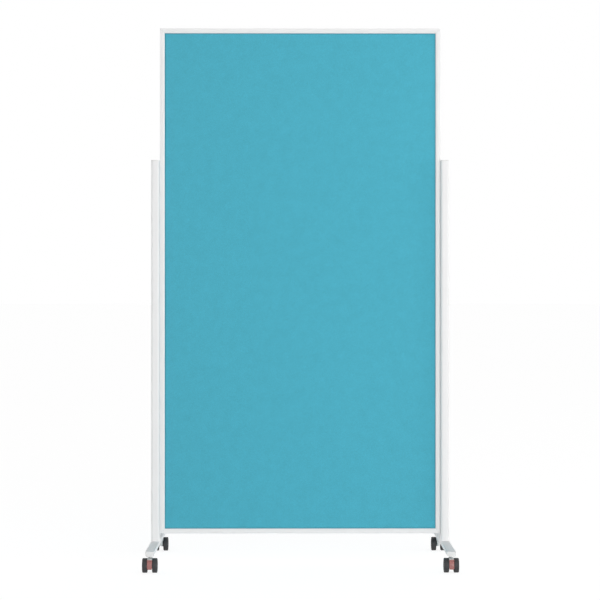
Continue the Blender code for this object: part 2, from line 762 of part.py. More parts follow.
def wheel_mesh():
    """Return a wheel turned about X: dished face towards +X, brake drum on the cored side."""
    half = WHEEL_WIDTH / 2
    quarter = math.pi / 2
    edge = WHEEL_EDGE_RADIUS
    rim = WHEEL_RADIUS - WHEEL_RIM
    dish = half - WHEEL_DISH
    disc = dish - WHEEL_DISC
    ring = WHEEL_RADIUS - edge - WHEEL_FACE_RING
    bore = AXLE_RADIUS + FIT_GAP
    bore_end = dish + WHEEL_CAP_RISE - WHEEL_AXLE_COVER
    drum_end = -half - WHEEL_DRUM_REACH
    profile = [
        (dish + WHEEL_CAP_RISE, 0),
        (dish + WHEEL_CAP_RISE, WHEEL_CAP_RADIUS - WHEEL_CAP_RISE),
        (dish, WHEEL_CAP_RADIUS),
        (dish, ring - WHEEL_FACE_SLOPE),
        (half, ring),
    ]
    profile += arc((half - edge, WHEEL_RADIUS - edge), edge, 0, quarter, 2)
    profile += arc((edge - half, WHEEL_RADIUS - edge), edge, quarter, 2 * quarter, 2)
    profile += [
        (-half, rim),
        (disc, rim),
        (disc, WHEEL_DRUM_RADIUS),
        (drum_end + EDGE_SOFTENING, WHEEL_DRUM_RADIUS),
        (drum_end, WHEEL_DRUM_RADIUS - EDGE_SOFTENING),
        (drum_end, bore),
        (bore_end, bore),
        (bore_end, 0),
    ]
    return turned("caster_wheel", profile, SEGMENTS_WHEEL, along_x)


def axle_mesh():
    """Return the axle, which reaches into the blind bores of both wheels."""
    bore_end = WHEEL_WIDTH / 2 - WHEEL_DISH + WHEEL_CAP_RISE - WHEEL_AXLE_COVER
    half = WHEEL_MIDDLE + bore_end - FIT_GAP
    return rod("caster_axle", AXLE_RADIUS, -half, half, along_x)


def casters():
    """Make the four casters, whose levers point away from the middle of the board."""
    stem = stem_mesh()
    body = body_mesh()
    axle = axle_mesh()
    wheel = wheel_mesh()
    lever = lever_mesh()
    axle_place = (0, CASTER_TRAIL, WHEEL_RADIUS)
    for side, side_sign in SIDES.items():
        for end, end_sign in ENDS.items():
            label = "caster_" + side + "_" + end + "_"
            pivot = bpy.data.objects.new(label + "pivot", None)
            bpy.context.scene.collection.objects.link(pivot)
            pivot.location = (side_sign * POST_X, end_sign * STEM_Y, 0)
            pivot.rotation_euler = (0, 0, 0 if end_sign > 0 else math.pi)
            outward = side_sign * end_sign
            place(label + "stem", stem, "plated_steel", (0, 0, WHEEL_RADIUS), parent=pivot)
            place(label + "body", body, "pale_grey_plastic", axle_place, parent=pivot)
            place(label + "axle", axle, "plated_steel", axle_place, parent=pivot)
            place(label + "brake_lever", lever, "red_plastic", axle_place, parent=pivot)
            for wheel_name, sign in (("wheel_outer", outward), ("wheel_inner", -outward)):
                location = (sign * WHEEL_MIDDLE, CASTER_TRAIL, WHEEL_RADIUS)
                turn = (0, 0, 0 if sign > 0 else math.pi)
                place(label + wheel_name, wheel, "black_plastic", location, turn, pivot)


def main():
    """Build every piece of the pinboard."""
    clear_scene()
    frame_rails()
    frame_stiles()
    panels()
    corner_connectors()
    board_bolts()
    posts()
    post_caps()
    post_plugs()
    post_bolts()
    feet()
    foot_ends()
    casters()


main()
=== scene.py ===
"""Dress the mobile pinboard: finishes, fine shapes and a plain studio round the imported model.

Lengths are in metres, +Z is up, and the front of the board faces -Y.
"""

import json
import math

import bmesh
import bpy
from mathutils import Matrix, Vector
from mathutils.geometry import tessellate_polygon


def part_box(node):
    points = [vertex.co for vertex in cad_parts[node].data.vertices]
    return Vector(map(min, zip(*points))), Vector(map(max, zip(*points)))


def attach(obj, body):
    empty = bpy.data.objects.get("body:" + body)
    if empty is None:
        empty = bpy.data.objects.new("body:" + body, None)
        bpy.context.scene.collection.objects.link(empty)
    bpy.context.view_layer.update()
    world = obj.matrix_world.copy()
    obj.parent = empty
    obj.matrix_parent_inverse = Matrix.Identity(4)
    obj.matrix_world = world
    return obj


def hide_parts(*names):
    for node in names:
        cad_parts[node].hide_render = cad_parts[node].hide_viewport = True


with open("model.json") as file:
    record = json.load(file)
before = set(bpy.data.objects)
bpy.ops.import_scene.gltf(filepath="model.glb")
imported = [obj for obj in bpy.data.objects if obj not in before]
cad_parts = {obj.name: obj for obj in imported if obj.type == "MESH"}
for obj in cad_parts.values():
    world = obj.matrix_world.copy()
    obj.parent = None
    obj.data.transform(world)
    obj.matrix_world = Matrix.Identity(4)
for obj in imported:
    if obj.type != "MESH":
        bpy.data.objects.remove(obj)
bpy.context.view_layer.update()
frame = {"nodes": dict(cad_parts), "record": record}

bl_info = {
    "name": "Mobile Pinboard Looks",
    "version": (1, 0, 0),
    "blender": (4, 5, 0),
    "location": "3D View > Sidebar > Pinboard",
    "description": "Finishes, fine shapes and studio for a mobile pinboard",
    "category": "Object",
}

MM = 0.001
QUARTER = math.pi / 2
SIDES = {"left": -1, "right": 1}
ENDS = {"front": -1, "rear": 1}
LEVELS = ("lower", "upper")
FIT_GAP = 0.3 * MM
CUT_OVERRUN = 2 * MM

# Facets of the fine shapes
WHEEL_STEPS = 96
SMALL_STEPS = 40
ARC_STEPS = 8
EDGE_STEPS = 3
TREAD_STEPS = 6
SHARP_ANGLE = math.radians(30)
MERGE_DISTANCE = 0.002 * MM

# Casters: holes, hub sleeve and boss
BORE_RADIUS = 2.8 * MM
SLEEVE_RADIUS = 5.5 * MM
STEM_HOLE_RADIUS = 4.3 * MM
STEM_HOLE_DEPTH = 18 * MM
BOSS_BOTTOM = -6 * MM
BOSS_EDGE = 0.6 * MM
CROWN_FLAT = 1 * MM
BODY_EDGE = 0.35 * MM

# Wheels: radii on the open side from the hub outwards, DISH_END measured in from the tread
HUB_EDGE = (6 * MM, 7 * MM)
HUB_RISE = 1 * MM
DISH_GROOVE = (11 * MM, 11.5 * MM, 12.5 * MM, 13 * MM)
DISH_END = (5.4 * MM, 3.9 * MM)
DISH_DEPTH = 2.2 * MM
GROOVE_DEPTH = 0.5 * MM
DISC_WALL = 2 * MM
DISC_EDGE = 0.4 * MM
SPOKE_INSET = 1 * MM
RIB_THICKNESS = 1.2 * MM

# Brake levers: angles about the axle, 0 pointing away from the stem, and sizes
LEVER_TOP = math.radians(46)
LEVER_LEDGE = math.radians(39)
LEVER_LEDGE_ROOT = math.radians(36)
LEVER_BOTTOM = math.radians(-30)
RIDGE_FIRST = math.radians(-21)
RIDGE_SPREAD = math.radians(44)
LEDGE_RADIUS = 29.5 * MM
PAD_WALL = 3 * MM
PAD_CORNER = 3 * MM
CHEEK_LOW_END = 2.25 * MM
CHEEK_HIGH_END = 0.5 * MM
RING_RADIUS = 8.8 * MM
RING_HOLE_RADIUS = 5.8 * MM
SNAP_HALF = 4.5 * MM
RIDGE_ROOT = 0.5 * MM
RIDGE_HEIGHT = 0.4 * MM
RIDGE_INSET = 2 * MM
LEVER_EDGE = 0.3 * MM


def linear(hex_colour):
    """Turn an sRGB hex colour into the linear values that a shader takes."""
    values = []
    for start in (0, 2, 4):
        channel = int(hex_colour[start:start + 2], 16) / 255
        if channel <= 0.04045:
            values.append(channel / 12.92)
        else:
            values.append(((channel + 0.055) / 1.055) ** 2.4)
    return values


def number_property(name, description, default, **settings):
    """Return a settable number."""
    return bpy.props.FloatProperty(
        name=name, description=description, default=default, min=0, **settings
    )


def length_property(name, description, default):
    """Return a settable length with its unit."""
    return number_property(name, description, default, unit="LENGTH", precision=4)


def colour_property(name, description, hex_colour):
    """Return a settable colour."""
    return bpy.props.FloatVectorProperty(
        name=name, description=description, default=linear(hex_colour), size=3,
        subtype="COLOR", min=0, max=1
    )


class PinboardFinishes(bpy.types.PropertyGroup):
    """Colours of the board's materials."""

    felt: colour_property("Felt", "Colour of the pin panels", "4DB0C6")
    coating: colour_property("Coating", "Colour of the powder coated metal", "EBEBEB")
    cap: colour_property("Caps", "Colour of the caps and foot ends", "E6E6E5")
    body: colour_property("Caster body", "Colour of the casters' moulded bodies", "DADCDB")
    wheel: colour_property("Wheel", "Colour of the wheels' discs", "303031")
    tread: colour_property("Tread", "Colour of the wheels' treads", "303032")
    lever: colour_property("Lever", "Colour of the brake levers", "A8706C")


class PinboardBoard(bpy.types.PropertyGroup):
    """Sizes of the frame's section."""

    face: length_property("Face", "Width of the frame's face", 17 * MM)
    flat: length_property("Flat", "Width of the face before it slopes in", 11 * MM)
    drop: length_property("Drop", "How far the slope falls back", 2.5 * MM)
    lip: length_property("Lip", "Thickness of the lip over the panel", 1 * MM)
    wall: length_property("Wall", "Wall of the extrusion", 1.5 * MM)
    chamber: length_property("Chamber", "Width of the hollow chamber", 6.5 * MM)
    edge: length_property("Edge", "Radius of the outer edges", 1 * MM)
    bend: length_property("Bend", "Radius where the face bends and ends", 0.4 * MM)
    felt_dip: length_property("Felt dip", "How far the felt dips at the lip", 2.7 * MM)
    felt_groove: length_property("Felt groove", "Width of the groove along the lip", 1.3 * MM)
    felt_roll: length_property("Felt roll", "Width of the border that rolls down", 2.4 * MM)


class PinboardStand(bpy.types.PropertyGroup):
    """Sizes of the posts and feet."""

    post_radius: length_property("Post radius", "Radius of the posts' edges", 8 * MM)
    wall: length_property("Wall", "Wall of the posts and feet", 2 * MM)
    top_radius: length_property("Foot top radius", "Radius of a foot's upper edges", 1.5 * MM)
    bottom_radius: length_property("Foot bottom radius", "Radius of a foot's lower edges", 6 * MM)
    cap_edge: length_property("Cap edge", "Radius of the caps' outer edges", 0.8 * MM)
    bolt_hole: length_property("Bolt hole", "Radius of a bolt's hole", 4.3 * MM)
    access_hole: length_property("Access hole", "Radius of the hole over a bolt's head", 8 * MM)


class PinboardCaster(bpy.types.PropertyGroup):
    """Sizes of the casters."""

    trail: length_property("Trail", "Distance from the stem to the axle", 20 * MM)
    wheel_radius: length_property("Wheel radius", "Radius of the wheels", 25 * MM)
    wheel_width: length_property("Wheel width", "Width of one wheel", 17 * MM)
    space: length_property("Space", "Space between the wheels", 17 * MM)
    tread: length_property("Tread", "Thickness of the tread", 2.6 * MM)
    tread_edge: length_property("Tread edge", "Radius of the tread's edges", 2.5 * MM)
    groove: length_property("Groove", "Depth of the seam between tread and disc", 0.35 * MM)
    drum: length_property("Drum", "Radius of the drum on a wheel's inner side", 9.3 * MM)
    drum_reach: length_property("Drum reach", "How far the drum stands inward", 3.5 * MM)
    crown: length_property("Crown", "Radius of the body's crown", 24 * MM)
    crown_wall: length_property("Crown wall", "Thickness of the crown", 9.5 * MM)
    boss: length_property("Boss", "Radius of the boss below the crown", 6.5 * MM)
    cheek: length_property("Cheek", "Thickness of a lever's cheeks", 2.3 * MM)
    pad: length_property("Pad", "Radius of the brake lever's pad", 24.5 * MM)
    spokes: bpy.props.IntProperty(
        name="Spokes", description="Number of ribs in a wheel's open side", default=10, min=3
    )
    ridges: bpy.props.IntProperty(
        name="Ridges", description="Number of grip ridges on a lever's pad", default=5, min=2
    )


class PinboardStudio(bpy.types.PropertyGroup):
    """Camera and lights."""

    camera_height: length_property("Camera height", "Height of the camera", 0.934)
    camera_left: length_property("Camera left", "How far left of the middle it stands", 0.035)
    camera_distance: length_property("Camera distance", "Distance from the board's middle", 6.60)
    aim_height: length_property("Aim height", "Height of the point it looks at", 0.9322)
    aim_left: length_property("Aim left", "How far left of the middle it looks", 0.7 * MM)
    lens: number_property("Lens", "Focal length for a 36 mm sensor", 110.89, unit="CAMERA")
    key_power: number_property("Key", "Power of the front light", 195, unit="POWER")
    side_power: number_property("Side", "Power of the light on the right", 140, unit="POWER")
    walls: number_property("Walls", "Strength of the light from the horizon", 2.45)
    ceiling: number_property("Ceiling", "Strength of the light from above", 0.3)


GROUPS = {
    "pinboard_finishes": PinboardFinishes,
    "pinboard_board": PinboardBoard,
    "pinboard_stand": PinboardStand,
    "pinboard_caster": PinboardCaster,
    "pinboard_studio": PinboardStudio,
}


def feed(tree, node, links):
    """Link sources into a node's inputs: sockets, or nodes that stand for their first output."""
    for socket, source in links.items():
        output = source.outputs[0] if isinstance(source, bpy.types.Node) else source
        tree.links.new(output, node.inputs[socket])


def add_node(tree, kind, values=None, links=None, **settings):
    """Add a node with its settings, the values of its inputs and the links into them."""
    node = tree.nodes.new(kind)
    for key, value in settings.items():
        setattr(node, key, value)
    for socket, value in (values or {}).items():
        node.inputs[socket].default_value = value
    feed(tree, node, links or {})
    return node


def new_material(name, colour, roughness, metallic=0.0, **sockets):
    """Return a material with its shader set, its node tree and its object coordinates."""
    material = bpy.data.materials.new(name)
    material.use_nodes = True
    tree = material.node_tree
    shader = tree.nodes["Principled BSDF"]
    shader.inputs["Base Color"].default_value = (*colour, 1)
    shader.inputs["Roughness"].default_value = roughness
    shader.inputs["Metallic"].default_value = metallic
    for socket, value in sockets.items():
        shader.inputs[socket.replace("_", " ")].default_value = value
    coordinates = add_node(tree, "ShaderNodeTexCoord").outputs["Object"]
    return material, tree, shader, coordinates


def per_metre(size):
    """Return a noise scale whose features are about that size."""
    return 1 / size


def shades(colour, amount):
    """Return a colour made a little darker and a little lighter, for the two ends of a mix."""
    dark = [channel * (1 - amount) for channel in colour]
    light = [min(1, channel * (1 + amount)) for channel in colour]
    return {"A": (*dark, 1), "B": (*light, 1)}


def uneven_skin(name, colour, cloud, amount, gloss, grain=None, metallic=0.0):
    """Return a material whose tone and gloss vary in clouds, over a fine grain if it has one.

    A cloud is (size, detail), gloss is (least, most) roughness, and a grain is (size, detail,
    strength, depth).
    """
    material, tree, shader, coordinates = new_material(name, colour, gloss[0], metallic)
    size, detail = cloud
    clouds = add_node(
        tree, "ShaderNodeTexNoise", {"Scale": per_metre(size), "Detail": detail},
        {"Vector": coordinates}
    )
    tone = add_node(
        tree, "ShaderNodeMix", shades(colour, amount), {"Factor": clouds}, data_type="RGBA"
    )
    roughness = add_node(
        tree, "ShaderNodeMapRange", {"To Min": gloss[0], "To Max": gloss[1]}, {"Value": clouds}
    )
    feed(tree, shader, {"Base Color": tone.outputs["Result"], "Roughness": roughness})
    if grain:
        size, detail, strength, depth = grain
        pits = add_node(
            tree, "ShaderNodeTexNoise", {"Scale": per_metre(size), "Detail": detail},
            {"Vector": coordinates}
        )
        bump = add_node(
            tree, "ShaderNodeBump", {"Strength": strength, "Distance": depth}, {"Height": pits}
        )
        feed(tree, shader, {"Normal": bump})
    return material


def powder_coating(name, colour):
    """Powder coated metal, baked on: an even satin skin with a faint orange peel."""
    return uneven_skin(
        name, colour, cloud=(90 * MM, 1.0), amount=0.01, gloss=(0.38, 0.47),
        grain=(1.4 * MM, 2.0, 0.25, 0.02 * MM)
    )


def needle_felt(name, colour):
    """Needle punched polyester felt: matted short fibres, dull, with a soft bloom at a glance."""
    material, tree, shader, coordinates = new_material(
        name, colour, 0.95, Sheen_Weight=0.12, Sheen_Roughness=0.6, Specular_IOR_Level=0.25
    )
    # Real fibres are far under a millimetre thick: they are drawn as coarse as they need to show
    fibres = []
    for squeeze in ((1.0, 1.0, 4.0), (4.0, 1.0, 1.0)):
        direction = add_node(tree, "ShaderNodeMapping", {"Scale": squeeze}, {"Vector": coordinates})
        fibres.append(add_node(
            tree, "ShaderNodeTexNoise",
            {"Scale": per_metre(3 * MM), "Detail": 3.0, "Roughness": 0.6, "Distortion": 0.8},
            {"Vector": direction}
        ))
    matted = add_node(
        tree, "ShaderNodeMath", links={0: fibres[0], 1: fibres[1]}, operation="MAXIMUM"
    )
    cloud = add_node(
        tree, "ShaderNodeTexNoise", {"Scale": per_metre(35 * MM), "Detail": 3.0},
        {"Vector": coordinates}
    )
    cloud_share = add_node(tree, "ShaderNodeMath", {1: 0.3}, {0: cloud}, operation="MULTIPLY")
    speckle = add_node(
        tree, "ShaderNodeMapRange", {"From Min": 0.45, "From Max": 0.75}, {"Value": matted}
    )
    shade = add_node(
        tree, "ShaderNodeMath", {1: 0.85}, {0: speckle, 2: cloud_share}, operation="MULTIPLY_ADD"
    )
    bump = add_node(
        tree, "ShaderNodeBump", {"Strength": 0.8, "Distance": 0.35 * MM}, {"Height": matted}
    )
    tone = add_node(
        tree, "ShaderNodeMix", shades(colour, 0.22), {"Factor": shade}, data_type="RGBA"
    )
    feed(tree, shader, {"Base Color": tone.outputs["Result"], "Normal": bump})
    return material


def moulded_plastic(name, colour, roughness, grain):
    """Injection moulded plastic: fine spark eroded grain, a little uneven in gloss."""
    # Real spark eroded grain is about 0.1 mm wide: it is drawn as coarse as it needs to show
    return uneven_skin(
        name, colour, cloud=(12 * MM, 2.0), amount=0.04, gloss=(roughness - 0.06, roughness + 0.06),
        grain=(grain, 3.0, 0.3, 0.03 * MM)
    )


def zinc_skin(name, hex_colour):
    """Zinc, plated on steel or die cast: a dull metal skin with a faint cloud from the bath or die."""
    return uneven_skin(
        name, linear(hex_colour), cloud=(4 * MM, 4.0), amount=0.08, gloss=(0.28, 0.48), metallic=1.0
    )


def soft_fibreboard(name, hex_colour):
    """Soft fibreboard, pressed from wood fibre: matt, with fine dark and light flecks."""
    colour = linear(hex_colour)
    material, tree, shader, coordinates = new_material(name, colour, 0.95)
    fleck = add_node(
        tree, "ShaderNodeTexVoronoi", {"Scale": per_metre(2.5 * MM)}, {"Vector": coordinates}
    )
    tone = add_node(
        tree, "ShaderNodeMix", shades(colour, 0.15), {"Factor": fleck}, data_type="RGBA"
    )
    feed(tree, shader, {"Base Color": tone.outputs["Result"]})
    return material


def finishes():
    """Return the board's materials by the record's slot, made on the first call."""
    if "needle_felt" in bpy.data.materials:
        return {slot: bpy.data.materials[name] for slot, name in FINISH_NAMES.items()}
    chosen = bpy.context.scene.pinboard_finishes
    needle_felt("needle_felt", chosen.felt)
    powder_coating("powder_coated_aluminium", chosen.coating)
    powder_coating("powder_coated_steel", chosen.coating)
    moulded_plastic("moulded_abs_white", chosen.cap, roughness=0.45, grain=0.5 * MM)
    moulded_plastic("moulded_polyamide_grey", chosen.body, roughness=0.5, grain=0.4 * MM)
    moulded_plastic("moulded_polyamide_black", chosen.wheel, roughness=0.45, grain=0.4 * MM)
    moulded_plastic("moulded_polyamide_red", chosen.lever, roughness=0.38, grain=0.4 * MM)
    moulded_plastic("moulded_polyurethane_tread", chosen.tread, roughness=0.6, grain=0.6 * MM)
    zinc_skin("zinc_plated_steel", "B2B4B6")
    zinc_skin("die_cast_zinc", "8F9193")
    soft_fibreboard("soft_fibreboard", "B8996F")
    return finishes()


FINISH_NAMES = {
    "teal_felt": "needle_felt",
    "softboard": "soft_fibreboard",
    "white_coated_aluminium": "powder_coated_aluminium",
    "white_coated_steel": "powder_coated_steel",
    "white_plastic": "moulded_abs_white",
    "cast_zinc": "die_cast_zinc",
    "plated_steel": "zinc_plated_steel",
    "pale_grey_plastic": "moulded_polyamide_grey",
    "black_plastic": "moulded_polyamide_black",
    "red_plastic": "moulded_polyamide_red",
}


def to_mesh(bm, name):
    """Close a bmesh into a mesh with its faces pointing out."""
    bmesh.ops.recalc_face_normals(bm, faces=bm.faces)
    mesh = bpy.data.meshes.new(name)
    bm.to_mesh(mesh)
    bm.free()
    return mesh


def add_wall(bm, first, second):
    """Join two rings of the same number of points with a band of faces."""
    for index in range(len(first)):
        following = (index + 1) % len(first)
        bm.faces.new((first[index], first[following], second[following], second[index]))


def loft(name, rings):
    """Skin a closed body through rings with the same number of points each."""
    bm = bmesh.new()
    placed = [[bm.verts.new(point) for point in ring] for ring in rings]
    for first, second in zip(placed, placed[1:]):
        add_wall(bm, first, second)
    bm.faces.new(placed[0])
    bm.faces.new(placed[-1])
    return to_mesh(bm, name)


def pipe(name, outer, inner):
    """Skin an open-ended tube from its outer and inner rings."""
    bm = bmesh.new()
    outside = [[bm.verts.new(point) for point in ring] for ring in outer]
    inside = [[bm.verts.new(point) for point in ring] for ring in inner]
    for rings in (outside, inside):
        for first, second in zip(rings, rings[1:]):
            add_wall(bm, first, second)
    add_wall(bm, outside[0], inside[0])
    add_wall(bm, outside[-1], inside[-1])
    return to_mesh(bm, name)


def prism(name, outlines, start, end):
    """Extrude flat outlines, the holes included, between two places for each point."""
    bm = bmesh.new()
    ends = []
    for place_point in (start, end):
        ends.append([[bm.verts.new(place_point(*point)) for point in line] for line in outlines])
    for first, second in zip(*ends):
        add_wall(bm, first, second)
    flat = [[Vector((point[0], point[1], 0)) for point in line] for line in outlines]
    triangles = tessellate_polygon(flat)
    for lines in ends:
        points = [vertex for line in lines for vertex in line]
        for triangle in triangles:
            bm.faces.new([points[index] for index in triangle])
    return to_mesh(bm, name)


def circle(along, radius, steps, to_point):
    """Return points round an axis at a place along it, or a single point for no radius."""
    points = []
    for step in range(steps if radius else 1):
        angle = math.tau * step / steps
        points.append(Vector(to_point(along, radius * math.cos(angle), radius * math.sin(angle))))
    return points


def turned(name, profile, steps, to_point):
    """Turn a closed profile of (along, radius) points round its axis."""
    bm = bmesh.new()
    rings = []
    for along, radius in profile:
        rings.append([bm.verts.new(point) for point in circle(along, radius, steps, to_point)])
    following = zip(rings, rings[1:])
    if len(rings[0]) > 1 and len(rings[-1]) > 1:
        following = zip(rings, rings[1:] + rings[:1])
    for first, second in following:
        if len(first) == 1 or len(second) == 1:
            pole, ring = (first[0], second) if len(first) == 1 else (second[0], first)
            for index in range(steps):
                bm.faces.new((pole, ring[index], ring[(index + 1) % steps]))
        else:
            add_wall(bm, first, second)
    return to_mesh(bm, name)


def along_x(along, across, up):
    """Lay a turned profile's axis along X."""
    return (along, across, up)


def along_z(along, across, up):
    """Stand a turned profile's axis along Z."""
    return (across, up, along)


def rod(name, radius, start, end, to_point, centre=(0, 0, 0), steps=SMALL_STEPS):
    """Return a plain cylinder from start to end along its axis."""
    rings = []
    for along in (start, end):
        rings.append([point + Vector(centre) for point in circle(along, radius, steps, to_point)])
    return loft(name, rings)


def arc(centre, radius, start, end, steps=ARC_STEPS):
    """Return points on an arc, both ends included."""
    points = []
    for step in range(steps + 1):
        angle = start + (end - start) * step / steps
        points.append((centre[0] + radius * math.cos(angle), centre[1] + radius * math.sin(angle)))
    return points


def rounded(corners, steps=ARC_STEPS):
    """Return an outline whose corners, given as (x, y, radius), are filleted."""
    points = []
    for index, (x, y, radius) in enumerate(corners):
        here = Vector((x, y))
        if radius == 0:
            points.append((x, y))
            continue
        before = (Vector(corners[index - 1][:2]) - here).normalized()
        after = (Vector(corners[(index + 1) % len(corners)][:2]) - here).normalized()
        half = before.angle(after) / 2
        centre = here + (before + after).normalized() * (radius / math.sin(half))
        reach = radius / math.tan(half)
        start = here + before * reach - centre
        end = here + after * reach - centre
        first = math.atan2(start.y, start.x)
        sweep = math.atan2(end.y, end.x) - first
        sweep = (sweep + math.pi) % math.tau - math.pi
        points += arc(centre, radius, first, first + sweep, steps)
    return points


def rounded_rectangle(width, height, top_radius, bottom_radius):
    """Return a rectangle about the origin with filleted corners."""
    right = width / 2
    top = height / 2
    return rounded([
        (right, -top, bottom_radius), (right, top, top_radius),
        (-right, top, top_radius), (-right, -top, bottom_radius),
    ])


def placed(name, data):
    """Return a new object in the scene."""
    piece = bpy.data.objects.new(name, data)
    bpy.context.scene.collection.objects.link(piece)
    return piece


def combined(name, base, joined=(), cut=()):
    """Return one mesh: base with some meshes joined to it and others cut from it."""
    body = placed(name, base)
    tools = []
    for operation, meshes in (("UNION", joined), ("DIFFERENCE", cut)):
        for mesh in meshes:
            tool = placed(mesh.name, mesh)
            modifier = body.modifiers.new(operation.title(), "BOOLEAN")
            modifier.operation = operation
            modifier.solver = "EXACT"
            modifier.object = tool
            tools.append(tool)
    result = evaluated_mesh(body, name)
    for item in [body] + tools:
        mesh = item.data
        bpy.data.objects.remove(item, do_unlink=True)
        bpy.data.meshes.remove(mesh)
    return result


def evaluated_mesh(piece, name):
    """Return a plain mesh of an object as its modifiers leave it."""
    bpy.context.view_layer.update()
    graph = bpy.context.evaluated_depsgraph_get()
    mesh = bpy.data.meshes.new_from_object(piece.evaluated_get(graph))
    mesh.name = name
    return mesh


def merge_close_points(mesh):
    """Merge the points that a bevel leaves on one spot."""
    bm = bmesh.new()
    bm.from_mesh(mesh)
    bmesh.ops.remove_doubles(bm, verts=bm.verts, dist=MERGE_DISTANCE)
    bm.to_mesh(mesh)
    bm.free()


def moved(mesh, matrix):
    """Return a copy of a mesh at another place."""
    copy = mesh.copy()
    copy.transform(matrix)
    return copy


def dress(name, mesh, body, slot, *nodes, material=None, bevel=0):
    """Show a finished mesh as one piece that rides on a body and stands for some nodes."""
    piece = placed(name, mesh)
    mesh.materials.clear()
    mesh.materials.append(material or finishes()[slot])
    if bevel:
        edges = piece.modifiers.new("Edges", "BEVEL")
        edges.width = bevel
        edges.segments = EDGE_STEPS
        edges.limit_method = "ANGLE"
        edges.angle_limit = SHARP_ANGLE
        edges.use_clamp_overlap = True
        mesh = evaluated_mesh(piece, name)
        piece.modifiers.remove(edges)
        piece.data = mesh
        merge_close_points(mesh)
    mesh.shade_smooth()
    mesh.set_sharp_from_angle(angle=SHARP_ANGLE)
    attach(piece, body)
    if nodes:
        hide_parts(*nodes)


def corners_of(node):
    """Return the low and high corners of a node's box."""
    return [Vector(corner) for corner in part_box(node)]


def size_of(node):
    """Return the size of a node's box."""
    low, high = corners_of(node)
    return high - low


def centre_of(node):
    """Return the middle of a node's box."""
    low, high = corners_of(node)
    return (low + high) / 2


def facing(sign):
    """Return no turn for a piece on the plus side, and half a turn about Z on the other."""
    return Matrix.Rotation(0 if sign > 0 else math.pi, 4, "Z")


def dress_stand(finish, mesh, slot, node, sign=1):
    """Show a mesh made at X 0 at its node's place on the stand, facing the side of the sign."""
    mesh.transform(Matrix.Translation((centre_of(node).x, 0, 0)) @ facing(sign))
    dress(f"{finish}_{node}", mesh, "stand", slot, node)


def soft_edge(face, edge):
    """Return the (inset, place) pairs that round a piece off towards its face."""
    pairs = []
    for step in range(ARC_STEPS + 1):
        angle = QUARTER * step / ARC_STEPS
        pairs.append((edge * (1 - math.cos(angle)), face - edge + edge * math.sin(angle)))
    return pairs


def frame_section(board, depth):
    """Return the frame's section as (inward, depth) points: its outside and its chamber."""
    half = depth / 2
    channel = half - board.drop - board.lip
    floor = 2 * board.wall + board.chamber
    front = [
        (0, half, board.edge),
        (board.flat, half, board.bend),
        (board.face, half - board.drop, board.bend),
        (board.face, channel, board.bend),
        (floor, channel, 0),
    ]
    rear = [(inward, -place, radius) for inward, place, radius in reversed(front)]
    chamber_half = half - board.wall
    chamber_end = board.wall + board.chamber
    chamber = rounded([
        (board.wall, -chamber_half, board.bend), (board.wall, chamber_half, board.bend),
        (chamber_end, chamber_half, board.bend), (chamber_end, -chamber_half, board.bend),
    ])
    return [rounded(front + rear), chamber]


def frame_rail(name, board, length, depth):
    """Return a mitred length of the frame, along X with its outer edge at Z 0."""
    mitre_gap = FIT_GAP / math.sqrt(2)

    def at(sign):
        def place_point(inward, place):
            return (sign * (length / 2 - inward - mitre_gap), place, -inward)
        return place_point

    return prism(name, frame_section(board, depth), at(-1), at(1))


class PINBOARD_OT_frame(bpy.types.Operator):
    """Make the four mitred lengths of the frame with their soft edges"""

    bl_idname = "pinboard.frame"
    bl_label = "Frame"

    def execute(self, context):
        board = context.scene.pinboard_board
        left = corners_of("frame_left_stile")[0]
        right = corners_of("frame_right_stile")[1]
        size = right - left
        bottom = corners_of("frame_bottom_rail")[0].z
        top = corners_of("frame_top_rail")[1].z
        middle = (bottom + top) / 2
        lengths = {
            "frame_top_rail": (size.x, (0, 0, top), 0),
            "frame_right_stile": (top - bottom, (right.x, 0, middle), 1),
            "frame_bottom_rail": (size.x, (0, 0, bottom), 2),
            "frame_left_stile": (top - bottom, (left.x, 0, middle), 3),
        }
        for node, (length, place, quarters) in lengths.items():
            rail = frame_rail(node, board, length, size.y)
            turn = Matrix.Rotation(quarters * QUARTER, 4, "Y")
            mesh = moved(rail, Matrix.Translation(place) @ turn)
            dress(node.replace("frame", "coated"), mesh, "stand", "white_coated_aluminium", node)
        return {"FINISHED"}


class PINBOARD_OT_panels(bpy.types.Operator):
    """Make the two felt panels, whose border rolls down to a groove along the frame's lip"""

    bl_idname = "pinboard.panels"
    bl_label = "Felt panels"

    def execute(self, context):
        board = context.scene.pinboard_board
        covered = board.face - 2 * board.wall - board.chamber - FIT_GAP
        for end, sign in ENDS.items():
            node = "pin_panel_" + end
            middle = centre_of(node)
            half = size_of(node) / 2

            def ring(inset, depth):
                right = half.x - inset
                top = half.z - inset
                place = middle.y + sign * (half.y - depth)
                corners = ((right, -top), (right, top), (-right, top), (-right, -top))
                return [(middle.x + x, place, middle.z + z) for x, z in corners]

            rings = [ring(0, 2 * half.y), ring(0, board.felt_dip)]
            for step in range(ARC_STEPS + 1):
                share = step / ARC_STEPS
                depth = board.felt_dip * (1 + math.cos(math.pi * share)) / 2
                rings.append(ring(covered + board.felt_groove + board.felt_roll * share, depth))
            dress("felt_" + end, loft("felt_panel", rings), "stand", "teal_felt", node)
        return {"FINISHED"}


class PINBOARD_OT_inner(bpy.types.Operator):
    """Give the core, the connectors, the bolts, the nuts and the axles their materials"""

    bl_idname = "pinboard.inner"
    bl_label = "Inner pieces"

    def execute(self, context):
        kept = ("panel_core", "frame_corner", "board_bolt", "board_nut", "post_plug", "post_bolt")
        slots = {row["node"]: row["material_slot"] for row in frame["record"]["subparts"]}
        for node, piece in frame["nodes"].items():
            if node.startswith(kept) or node.endswith("_axle"):
                for slot in piece.material_slots:
                    slot.material = finishes()[slots[node]]
        return {"FINISHED"}


